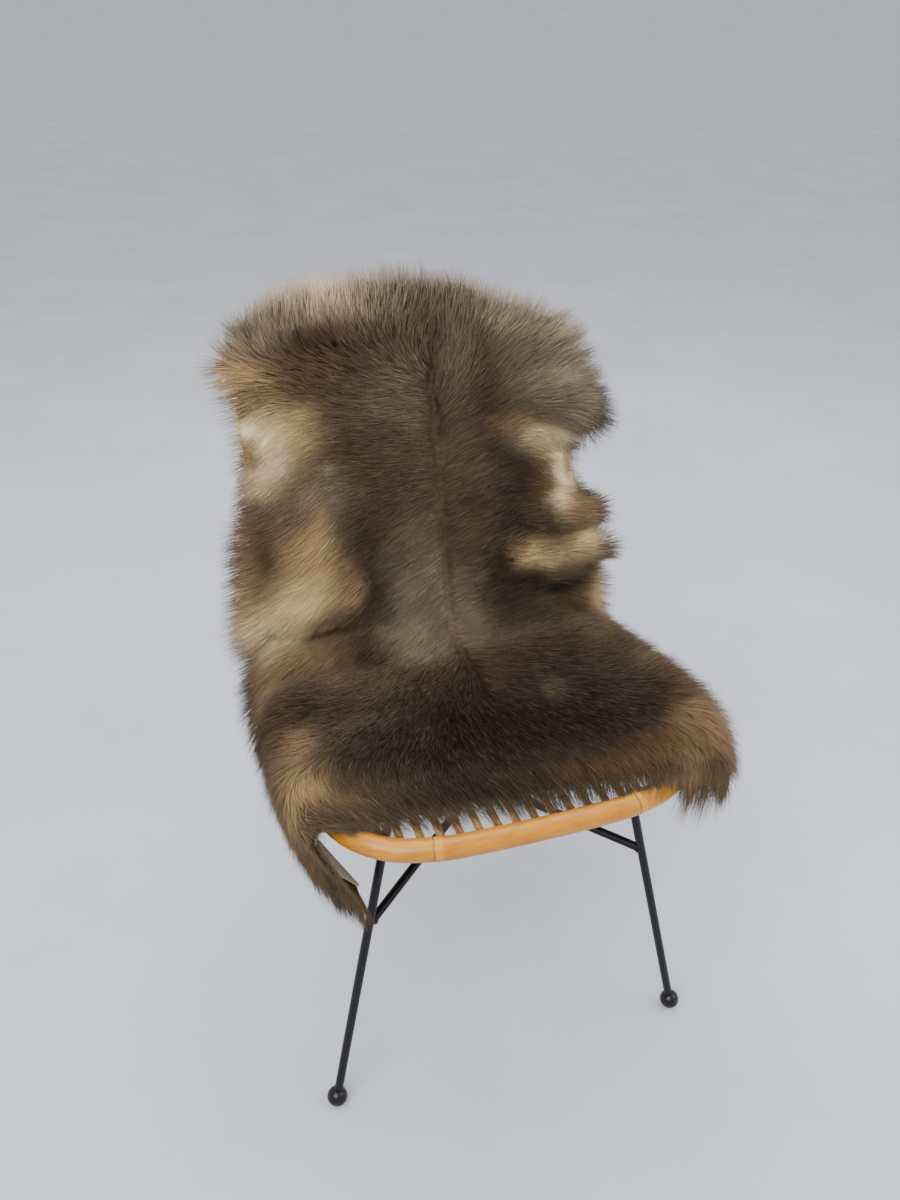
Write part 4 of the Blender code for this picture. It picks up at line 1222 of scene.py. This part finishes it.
def make_fleece():
    """Straight hair: painted shade darkens the root where the coat is dark, with paler tips on some
    strands.
    """
    material, tree, shader = start_material("fleece", Specular_IOR_Level=0.12, Roughness=0.60)
    coat = attribute(tree, "coat", "Color")
    tip = attribute(tree, "tip")
    strand = attribute(tree, "strand")
    # Painted shade at the root, where the pile shades the hair; pale coats keep their colour
    root = mixed(tree, 1.0, coat, (0.55, 0.50, 0.46, 1.0), "MULTIPLY")
    shade = node(tree, "ShaderNodeRGBToBW", {"Color": coat}).outputs[0]
    root = mixed(tree, spread(tree, shade, 0.25, 0.75), root, coat)
    colour = mixed(tree, spread(tree, tip, 0.0, 0.5), root, coat)
    pale = mixed(tree, 0.42, coat, rgba((205, 186, 158)), "LIGHTEN")
    light = maths(tree, "MULTIPLY", spread(tree, tip, 0.45, 1.0), spread(tree, strand, 0.55, 1.0),
                  clamp=True)
    colour = mixed(tree, light, colour, pale)
    tree.links.new(colour, shader.inputs["Base Color"])
    return material


def make_pole(colour):
    """Lacquered rattan: honey skin with long fibres, paler rings at the nodes and fine scratches."""
    material, tree, shader = start_material("lacquered rattan", Coat_Weight=0.25,
                                            Coat_Roughness=0.12, Specular_IOR_Level=0.3)
    way = attribute(tree, "along pole", "Vector")
    grain = use_group(tree, shared("cane grain", grain_group), {"Vector": way, "Pitch": 900.0})
    base = tinted(tree, (*colour, 1.0), grain["Fibre"], 0.45, (192, 128, 14))
    base = tinted(tree, base, grain["Blotch"], 0.45, (210, 152, 38))
    ring = spread(tree, attribute(tree, "node"), 0.15, 0.8)
    base = tinted(tree, base, ring, 0.35, (212, 162, 62))
    base = tinted(tree, base, attribute(tree, "groove"), 0.8, (92, 56, 26))
    scratch = noise(tree, stretched(tree, way, 0.10), 420.0, 2.0, 0.8)
    place = spread(tree, noise(tree, way, 16.0, 2.0), 0.55, 0.62)
    base = tinted(tree, base, spread(tree, scratch, 0.70, 0.76), place, (86, 54, 30))
    finish_with_dust(tree, shader, base, 0.34, 0.04, 260.0)
    bumped(tree, shader, grain["Fibre"], 0.0003, 0.35)
    return material


def make_spindle():
    """Thin peeled rattan: pale yellow, satin, with fine long fibres."""
    material, tree, shader = start_material("peeled rattan", Coat_Weight=0.35, Coat_Roughness=0.2,
                                            Specular_IOR_Level=0.4)
    way = attribute(tree, "along pole", "Vector")
    grain = use_group(tree, shared("cane grain", grain_group), {"Vector": way, "Pitch": 1500.0})
    base = mixed(tree, grain["Fibre"], rgba((196, 146, 74)), rgba((232, 194, 122)))
    base = tinted(tree, base, grain["Blotch"], 0.35, (178, 120, 52))
    base = mixed(tree, attribute(tree, "end"), base, rgba((96, 62, 30)))
    finish_with_dust(tree, shader, base, 0.42, 0.08, 300.0)
    bumped(tree, shader, grain["Fibre"], 0.0002, 0.4)
    return material


def make_steel():
    """Satin black powder coat with its orange-peel and a little dust."""
    material, tree, shader = start_material("black powder coat", Specular_IOR_Level=0.25)
    point = object_point(tree)
    peel = noise(tree, point, 1400.0, 2.0, 0.5)
    base = mixed(tree, noise(tree, point, 60.0, 3.0), rgba((4, 4, 5)), rgba((9, 9, 10)))
    finish_with_dust(tree, shader, base, 0.40, 0.02, 420.0)
    bumped(tree, shader, peel, 0.0001, 0.35)
    return material


def make_foot():
    """Moulded black plastic, slightly worn where it meets the floor."""
    material, tree, shader = start_material("moulded foot", Specular_IOR_Level=0.35)
    point = object_point(tree)
    height = node(tree, "ShaderNodeSeparateXYZ", {0: point}).outputs["Z"]
    worn = maths(tree, "MULTIPLY", spread(tree, height, 0.006, 0.0),
                 noise(tree, point, 500.0, 3.0), clamp=True)
    base = mixed(tree, worn, rgba((7, 7, 8)), rgba((60, 58, 56)))
    finish_with_dust(tree, shader, base, 0.26, 0.03, 600.0)
    bumped(tree, shader, noise(tree, point, 900.0, 2.0), 0.0001, 0.3)
    return material


def make_floor():
    """Pale matt floor with a soft mottle."""
    material, tree, shader = start_material("pale floor", Roughness=0.85, Specular_IOR_Level=0.2)
    point = object_point(tree)
    cloud = spread(tree, noise(tree, point, 2.2, 6.0, 0.62), 0.3, 0.7)
    colour = mixed(tree, cloud, rgba((186, 189, 197)), rgba((197, 200, 207)))
    tree.links.new(colour, shader.inputs["Base Color"])
    return material


# Tubes
def skin_tree():
    """Geometry nodes that wrap a closed round skin round each line, by its points' own girth."""
    tree, start, end = start_group(
        "wrap skin", "GeometryNodeTree",
        [("Geometry", "Geometry"), ("Sides", "Int"), ("Finish", "Material")],
        [("Geometry", "Geometry")])
    line = node(tree, "GeometryNodeMeshToCurve", {"Mesh": start.outputs["Geometry"]}).outputs[0]
    run = tree.nodes.new("GeometryNodeSplineParameter").outputs["Length"]
    line = store(tree, line, "run", run, "FLOAT")
    ring = node(tree, "GeometryNodeCurvePrimitiveCircle", {"Resolution": start.outputs["Sides"]})
    place = tree.nodes.new("GeometryNodeInputPosition").outputs[0]
    ring = store(tree, ring.outputs[0], "round", place, "FLOAT_VECTOR")
    skin = node(tree, "GeometryNodeCurveToMesh",
                {"Curve": line, "Profile Curve": ring, "Scale": stored(tree, "girth"),
                 "Fill Caps": True}).outputs[0]
    spot = scaled(tree, stored(tree, "round", "FLOAT_VECTOR"), stored(tree, "girth"))
    apart = node(tree, "ShaderNodeSeparateXYZ", {0: spot})
    way = node(tree, "ShaderNodeCombineXYZ", {0: stored(tree, "run"), 1: apart.outputs["X"],
                                              2: apart.outputs["Y"]}).outputs[0]
    skin = store(tree, skin, "along pole", way, "FLOAT_VECTOR")
    real = node(tree, "GeometryNodeRealizeInstances", {"Geometry": skin}).outputs[0]
    dressed = node(tree, "GeometryNodeSetMaterial",
                   {"Geometry": real, "Material": start.outputs["Finish"]})
    tree.links.new(dressed.outputs[0], end.inputs[0])
    return tree


def wrap(name, lines, sides, material):
    """One piece of round skins along lines, each given as points, radii and named marks."""
    tree = shared("wrap skin", skin_tree)
    points = np.concatenate([line[0] for line in lines]) + np.array(PLACE)
    edges, first = [], 0
    for line in lines:
        edges += [(first + k, first + k + 1) for k in range(len(line[0]) - 1)]
        first += len(line[0])
    mesh = bpy.data.meshes.new(name + "_guide")
    mesh.from_pydata(points.tolist(), edges, [])
    set_values(mesh, "girth", "FLOAT", "POINT", np.concatenate([line[1] for line in lines]))
    for key in lines[0][2]:
        set_values(mesh, key, "FLOAT", "POINT", np.concatenate([line[2][key] for line in lines]))
    made = grow(name, mesh, tree, {"Sides": sides, "Finish": material}, ("girth", "run", "round"))
    made.shade_smooth()
    made.set_sharp_from_angle(angle=SHARP_ANGLE)
    return add_object(name, made)


def resample(points, step, marks=()):
    """Points along a line at even steps, closer together round the marks."""
    pts = np.array([tuple(p) for p in points])
    run = np.concatenate([[0], np.cumsum(np.linalg.norm(np.diff(pts, axis=0), axis=1))])
    places = set(np.round(np.arange(0, run[-1], step), 5)) | {round(float(run[-1]), 5)}
    for mark in marks:
        near = np.arange(mark - NODE_REACH, mark + NODE_REACH, NODE_STEP)
        places |= {round(float(p), 5) for p in near if 0 < p < run[-1]}
    places = np.array(sorted(places))
    return np.stack([np.interp(places, run, pts[:, k]) for k in range(3)], -1), places


def wander(run, waves, phase):
    """Uneven girth of a natural stem, as a share of its radius."""
    return sum(size * np.sin(run * pitch + phase * turn) for size, pitch, turn in waves)


def cane(name, points, radius, nodes, material):
    """A rattan pole with swollen nodes, each with a paler ring and a dark line."""
    line, run = resample(points, POLE_STEP, nodes)
    swell, ring, groove = (np.zeros(len(run)) for _ in range(3))
    for at in nodes:
        swell += np.exp(-((run - at) / NODE_WIDTH) ** 2)
        ring += np.exp(-((run - at - NODE_RING_AT) / NODE_RING_WIDTH) ** 4)
        groove += np.exp(-((run - at - GROOVE_AT) / GROOVE_WIDTH) ** 2)
    radii = radius * (1 + NODE_SWELL * swell - GROOVE_DEPTH * groove
                      + wander(run, POLE_WAVES, len(name)))
    close = np.minimum(run, run[-1] - run)
    radii = radii - END_ROUND * (1 - ease(close / ROUNDING_RUN))
    return wrap(name, [(line, radii, {"node": np.clip(ring, 0, 1), "groove": groove})], POLE_SIDES,
                material)


def hoop_y(z):
    return HOOP_Y + (z - HOOP_Z) * math.tan(LEAN)


def rim_loop():
    right = [(x, y, SEAT_Z) for x, y in SEAT_RIM]
    left = [(-x, y, z) for x, y, z in right[-2:0:-1]]
    return smooth_curve(right + left, CURVE_STEPS, closed=True)


def hoop_line():
    right = [(x, hoop_y(z), z) for x, z in BACK_HOOP]
    left = [(-x, y, z) for x, y, z in right[-2::-1]]
    return smooth_curve(right + left, CURVE_STEPS)


def butt(pts, start, end):
    """Draw a line's ends back for a butt joint."""
    pts = list(pts)
    if start:
        pts[0] = pts[0] + (pts[1] - pts[0]).normalized() * BUTT_GAP
    if end:
        pts[-1] = pts[-1] + (pts[-2] - pts[-1]).normalized() * BUTT_GAP
    return pts


def rim_crossings(x):
    """Front and rear y of the rim's centre line at a given x."""
    loop = rim_loop()
    half = loop[:len(loop) // 2 + 1]
    xs = [p.x for p in half]
    widest = xs.index(max(xs))
    front = np.interp(abs(x), xs[:widest + 1], [p.y for p in half[:widest + 1]])
    rear = np.interp(abs(x), xs[:widest - 1:-1], [p.y for p in half[:widest - 1:-1]])
    return float(front), float(rear)


def rod(name, start, end, radius, material, welds=(True, True)):
    """A steel rod whose welded ends swell a little where the bead runs round them."""
    start, end = Vector(start), Vector(end)
    length = (end - start).length
    near = np.linspace(0, WELD_RUN, WELD_POINTS)
    middle = np.linspace(WELD_RUN, length - WELD_RUN, ROD_POINTS)
    run = np.unique(np.concatenate([near, middle, length - near]))
    points = np.array([tuple(start.lerp(end, s / length)) for s in run])
    radii = np.full(len(run), radius)
    for welded, away in zip(welds, (run, length - run)):
        if welded:
            radii = radii + WELD_RISE * np.exp(-((away - WELD_AT) / WELD_WIDTH) ** 2)
        else:
            radii = radii - END_ROUND * (1 - ease(away / ROD_ROUNDING_RUN))
    return wrap(name, [(points, radii, {})], ROD_SIDES, material)


def ball_foot(name, centre, material):
    """A moulded ball with a flat base and a parting line."""
    mesh = bpy.data.meshes.new(name)
    bm = bmesh.new()
    bmesh.ops.create_uvsphere(bm, u_segments=40, v_segments=28, radius=BALL_R)
    for vert in bm.verts:
        if abs(vert.co.z) < SEAM_HEIGHT:
            vert.co.xy *= SEAM_RISE
    bmesh.ops.translate(bm, verts=bm.verts, vec=centre + PLACE)
    flat = bmesh.ops.bisect_plane(bm, geom=bm.verts[:] + bm.edges[:] + bm.faces[:],
                                  plane_co=(0, 0, 0), plane_no=(0, 0, -1), clear_outer=True)
    rim = [e for e in flat["geom_cut"] if isinstance(e, bmesh.types.BMEdge)]
    bmesh.ops.contextual_create(bm, geom=rim)
    bmesh.ops.recalc_face_normals(bm, faces=bm.faces)
    bm.to_mesh(mesh)
    bm.free()
    mesh.shade_smooth()
    mesh.set_sharp_from_angle(angle=SHARP_ANGLE)
    return add_object(name, mesh, material)


def leg_ends(side, rear):
    foot, top = (REAR_FOOT, REAR_TOP) if rear else (FRONT_FOOT, FRONT_TOP)
    return Vector((side * foot[0], foot[1], BALL_Z)), Vector((side * top[0], top[1], CROSSBAR_Z))


def floor_bowl(reach, material):
    """A flat floor whose far rim curves gently up, out of the chair's reach."""
    radii = np.concatenate([[FLOOR_FLAT / 2], np.linspace(FLOOR_FLAT, reach, FLOOR_RINGS)])
    rise = FLOOR_RISE * (np.maximum(radii - FLOOR_FLAT, 0) / (reach - FLOOR_FLAT)) ** 2
    turns = np.arange(FLOOR_SPOKES) * math.tau / FLOOR_SPOKES
    verts = [(0.0, 0.0, 0.0)]
    for radius, z in zip(radii, rise):
        verts += [(radius * math.cos(t), radius * math.sin(t), z) for t in turns]
    faces = [(0, 1 + k, 1 + (k + 1) % FLOOR_SPOKES) for k in range(FLOOR_SPOKES)]
    for ring in range(len(radii) - 1):
        first = 1 + ring * FLOOR_SPOKES
        for k in range(FLOOR_SPOKES):
            after = (k + 1) % FLOOR_SPOKES
            faces.append((first + k, first + FLOOR_SPOKES + k, first + FLOOR_SPOKES + after,
                          first + after))
    return add_mesh("floor", verts, faces, material)


# Settings
class RugSettings(bpy.types.PropertyGroup):
    thickness: FloatProperty(name="Leather", description="Thickness of the tanned skin",
                             default=0.0018, min=0.001, max=0.003, unit="LENGTH")
    hair_length: FloatProperty(name="Hair length", description="Scale of every hair's length",
                               default=1.0, min=0.5, max=1.5, subtype="FACTOR")
    hair_girth: FloatProperty(name="Hair girth", description="Scale of every hair's thickness",
                              default=1.0, min=0.5, max=2.0, subtype="FACTOR")
    hairs: IntProperty(name="Hairs", description="Number of hairs and locks on the hide",
                       default=197000, min=1000, max=240000)
    seed: IntProperty(name="Seed", description="Seed of the hair's scatter", default=5)


class ChairSettings(bpy.types.PropertyGroup):
    pole_radius: FloatProperty(name="Pole", description="Radius of the bent rattan poles",
                               default=POLE_R, unit="LENGTH")
    rod_radius: FloatProperty(name="Rod", description="Radius of the steel rods",
                              default=ROD_R, unit="LENGTH")
    rattan: FloatVectorProperty(name="Rattan", description="Colour of the lacquered poles",
                                default=tuple(float(c) for c in linear((166, 98, 6))),
                                subtype="COLOR", min=0, max=1)


class StageSettings(bpy.types.PropertyGroup):
    floor_size: FloatProperty(name="Floor", description="Width of the floor", default=150.0,
                              unit="LENGTH")
    key_power: FloatProperty(name="Key light", description="Power of the large soft light",
                             default=125.0, unit="POWER")


# Operators
class SHEEPSKIN_OT_leather(bpy.types.Operator):
    """Lay the tanned skin over the chair"""
    bl_idname = "sheepskin.leather"
    bl_label = "Lay the leather"

    def execute(self, context):
        surface = Surface(context.scene.rug.thickness)
        shift = surface.at_edge(EDGE_WANDER * ripple(surface.along, surface.across, EDGE_PITCH, 21))
        hide = slab("hide_leather", surface.under + shift, surface.leather + shift, make_leather())
        count = surface.along.size
        set_values(hide.data, "flesh", "FLOAT", "POINT", np.repeat([1.0, 0.0], count))
        place_and_ride(hide, "hide_leather", "hide")
        return {"FINISHED"}


class SHEEPSKIN_OT_underwool(bpy.types.Operator):
    """Lay the matted wool on the skin"""
    bl_idname = "sheepskin.underwool"
    bl_label = "Lay the underwool"

    def execute(self, context):
        surface = Surface(context.scene.rug.thickness)
        shift = surface.at_edge(-WOOL_INSET)
        tuft = WOOL_TUFT * ripple(surface.along, surface.across, WOOL_PITCH, 22)
        low = surface.leather + surface.normal * WOOL_GAP + shift
        high = surface.wool + surface.normal * np.maximum(tuft, WOOL_DIP)[..., None] + shift
        wool = slab("underwool", low, high, make_underwool())
        colours = coat_colour(surface.along, surface.across).reshape(-1, 3)
        set_coat(wool.data, np.concatenate([colours] * 2))
        place_and_ride(wool, "fleece")
        return {"FINISHED"}


class SHEEPSKIN_OT_fleece(bpy.types.Operator):
    """Set the hair on the hide, in pieces from the front edge to the neck"""
    bl_idname = "sheepskin.fleece"
    bl_label = "Set the fleece"

    def execute(self, context):
        settings = context.scene.rug
        hairs = comb_hair(Surface(settings.thickness), settings)
        kinds = lock_kinds()
        tree = lock_tree(kinds, make_fleece())
        rim = hairs["edge"] < RIM_WIDTH
        pieces = [("fleece_rim", rim)]
        for name, start, end, _ in FLEECE:
            pieces.append((name, ~rim & (hairs["along"] >= start) & (hairs["along"] < end)))
        strips = [n for n in frame["nodes"] if n.startswith("locks_")]
        for name, chosen in pieces:
            some = {key: values[chosen] for key, values in hairs.items()}
            obj = set_locks(name, tree, some, settings.hair_length, settings.hair_girth)
            place_and_ride(obj, "fleece", *(strips if name == "fleece_rim" else []))
        for obj in list(kinds.objects):
            bpy.data.objects.remove(obj)
        bpy.data.collections.remove(kinds)
        return {"FINISHED"}


class CHAIR_OT_poles(bpy.types.Operator):
    """Bend the seat rim and the back hoop from rattan poles"""
    bl_idname = "rattan_chair.poles"
    bl_label = "Bend the poles"

    def execute(self, context):
        settings = context.scene.chair
        material = make_pole(tuple(settings.rattan))
        loop = rim_loop()
        count = len(loop)
        corner, rear = FRONT_JOINT * CURVE_STEPS, REAR_JOINT * CURVE_STEPS
        spans = [
            ("pole_front", "rim_front", -corner, corner, (0.105, 0.330)),
            ("pole_right", "rim_right", corner, rear, (0.110,)),
            ("pole_rear", "rim_rear", rear, count - rear, (0.080, 0.300)),
            ("pole_left", "rim_left", count - rear, count - corner, (0.160,)),
        ]
        for name, node_name, first, last, nodes in spans:
            pts = butt([loop[i % count] for i in range(first, last + 1)], True, True)
            pole = cane(name, pts, settings.pole_radius, nodes, material)
            place_and_ride(pole, "rattan_pole", node_name)
        line = hoop_line()
        end, crown = len(line) - 1, CROWN_JOINT * CURVE_STEPS
        foot = round(HOOP_FOOT * CURVE_STEPS)
        stiles = [
            ("pole_stile_right", "hoop_right", line[foot:crown + 1], (False, True), (0.130, 0.330)),
            ("pole_stile_left", "hoop_left", line[end - crown:end + 1 - foot], (True, False),
             (0.090, 0.280)),
            ("pole_crown", "hoop_crown", line[crown:end - crown + 1], (True, True), (0.140,)),
        ]
        for name, node_name, pts, ends, nodes in stiles:
            pole = cane(name, butt(pts, *ends), settings.pole_radius, nodes, material)
            place_and_ride(pole, "rattan_pole", node_name)
        return {"FINISHED"}


class CHAIR_OT_spindles(bpy.types.Operator):
    """Set the thin spindles of the seat and the back"""
    bl_idname = "rattan_chair.spindles"
    bl_label = "Set the spindles"

    def execute(self, context):
        material = make_spindle()
        crown = hoop_line()
        xs = [p.x for p in crown][::-1]
        zs = [p.z for p in crown][::-1]
        rows = {"seat_spindles": [], "back_spindles": []}
        rng = np.random.default_rng(9)
        for i in range(SEAT_SPINDLES):
            x = (i - (SEAT_SPINDLES - 1) / 2) * SPINDLE_PITCH
            front, rear = rim_crossings(x)
            rows["seat_spindles"].append(((x, front, SPINDLE_Z), (x, rear, SPINDLE_Z)))
        for i in range(BACK_SPINDLES):
            x = (i - (BACK_SPINDLES - 1) / 2) * BACK_SPINDLE_PITCH
            top = float(np.interp(x, xs, zs))
            rows["back_spindles"].append(((x, hoop_y(SEAT_Z), SEAT_Z), (x, hoop_y(top), top)))
        for name, ends in rows.items():
            lines = []
            for k, (start, end) in enumerate(ends):
                start, end = Vector(start), Vector(end)
                length = (end - start).length
                trim = (POLE_R - SPINDLE_INSET) / length
                line, run = resample([start.lerp(end, trim), end.lerp(start, trim)], SPINDLE_STEP)
                radii = SPINDLE_R * (1 + wander(run, SPINDLE_WAVES, k))
                radii = radii * rng.uniform(SPINDLE_THINNEST, 1.0)
                close = np.minimum(run, run[-1] - run)
                lines.append((line, radii, {"end": np.exp(-close / SPINDLE_END)}))
            whole = wrap(name, lines, SPINDLE_SIDES, material)
            replaced = [n for n in frame["nodes"] if n.startswith(name[:-1] + "_")]
            place_and_ride(whole, "rattan_spindle", *replaced)
        return {"FINISHED"}


class CHAIR_OT_base(bpy.types.Operator):
    """Weld the steel legs, crossbars and braces, and fit the feet"""
    bl_idname = "rattan_chair.base"
    bl_label = "Weld the base"

    def execute(self, context):
        radius = context.scene.chair.rod_radius
        steel, rubber = make_steel(), make_foot()
        for rear in (False, True):
            end = "rear" if rear else "front"
            y = (REAR_TOP if rear else FRONT_TOP)[1]
            reach = REAR_REACH if rear else FRONT_REACH
            bar = rod(f"bar_{end}", (-reach, y, CROSSBAR_Z), (reach, y, CROSSBAR_Z), radius, steel,
                      (False, False))
            place_and_ride(bar, "black_steel", f"crossbar_{end}")
            for side, hand in ((-1, "left"), (1, "right")):
                foot, top = leg_ends(side, rear)
                shoe = ball_foot(f"ball_{end}_{hand}", foot, rubber)
                place_and_ride(shoe, "black_foot", f"foot_{end}_{hand}")
                way = (top - foot).normalized()
                leg = rod(f"steel_leg_{end}_{hand}", foot + way * LEG_IN_FOOT,
                          top - way * LEG_INSET, radius, steel, (False, True))
                place_and_ride(leg, "black_steel", f"leg_{end}_{hand}")
        for side, hand in ((-1, "left"), (1, "right")):
            over = Vector((0, 0, side * BRACE_OFFSET))
            start, end = (foot.lerp(top, (height - BALL_Z) / (CROSSBAR_Z - BALL_Z)) + over
                          for (foot, top), height in ((leg_ends(side, False), FRONT_BRACE_Z),
                                                      (leg_ends(-side, True), REAR_BRACE_Z)))
            inset = (end - start).normalized() * BRACE_INSET
            brace = rod(f"steel_brace_{hand}", start + inset, end - inset, radius, steel)
            place_and_ride(brace, "black_steel", f"brace_{hand}")
        return {"FINISHED"}


class STAGE_OT_studio(bpy.types.Operator):
    """Lay the floor, set the soft lights and the camera"""
    bl_idname = "studio_stage.studio"
    bl_label = "Set the studio"

    def execute(self, context):
        settings = context.scene.stage
        floor = floor_bowl(settings.floor_size / 2, make_floor())
        world = bpy.data.worlds.new("studio")
        world.use_nodes = True
        background = world.node_tree.nodes["Background"].inputs
        background["Color"].default_value = WORLD_COLOUR
        background["Strength"].default_value = WORLD_STRENGTH
        context.scene.world = world
        for name, place, size, share in LIGHTS:
            light = bpy.data.lights.new(name, "AREA")
            light.size = size
            light.energy = settings.key_power * share
            lamp = add_object(name, light)
            lamp.location = place
            toward = LIGHT_TARGET - lamp.location
            lamp.rotation_euler = toward.to_track_quat("-Z", "Y").to_euler()
        camera = bpy.data.cameras.new("camera")
        camera.lens = LENS
        eye = add_object("camera", camera)
        eye.location = EYE + PLACE
        eye.rotation_euler = LOOK
        context.scene.camera = eye
        return {"FINISHED"}


class SHEEPSKIN_PT_panel(bpy.types.Panel):
    """Sizes, colours and pieces of the rug and its chair"""
    bl_idname = "SHEEPSKIN_PT_panel"
    bl_label = "Sheepskin rug"
    bl_space_type = "VIEW_3D"
    bl_region_type = "UI"
    bl_category = "Sheepskin"

    def draw(self, context):
        scene = context.scene
        for settings in (scene.rug, scene.chair, scene.stage):
            box = self.layout.box()
            for key in settings.__annotations__:
                box.prop(settings, key)
        for cls in OPERATORS:
            self.layout.operator(cls.bl_idname)


SETTINGS = {"rug": RugSettings, "chair": ChairSettings, "stage": StageSettings}
OPERATORS = (CHAIR_OT_poles, CHAIR_OT_spindles, CHAIR_OT_base, SHEEPSKIN_OT_leather,
             SHEEPSKIN_OT_underwool, SHEEPSKIN_OT_fleece, STAGE_OT_studio)
CLASSES = (*SETTINGS.values(), *OPERATORS, SHEEPSKIN_PT_panel)


def register():
    for cls in CLASSES:
        bpy.utils.register_class(cls)
    for name, cls in SETTINGS.items():
        setattr(bpy.types.Scene, name, PointerProperty(type=cls))


def unregister():
    for name in SETTINGS:
        delattr(bpy.types.Scene, name)
    for cls in reversed(CLASSES):
        bpy.utils.unregister_class(cls)


def main():
    register()
    bpy.ops.rattan_chair.poles()
    bpy.ops.rattan_chair.spindles()
    bpy.ops.rattan_chair.base()
    bpy.ops.sheepskin.leather()
    bpy.ops.sheepskin.underwool()
    bpy.ops.sheepskin.fleece()
    bpy.ops.studio_stage.studio()


if __name__ == "__main__":
    main()
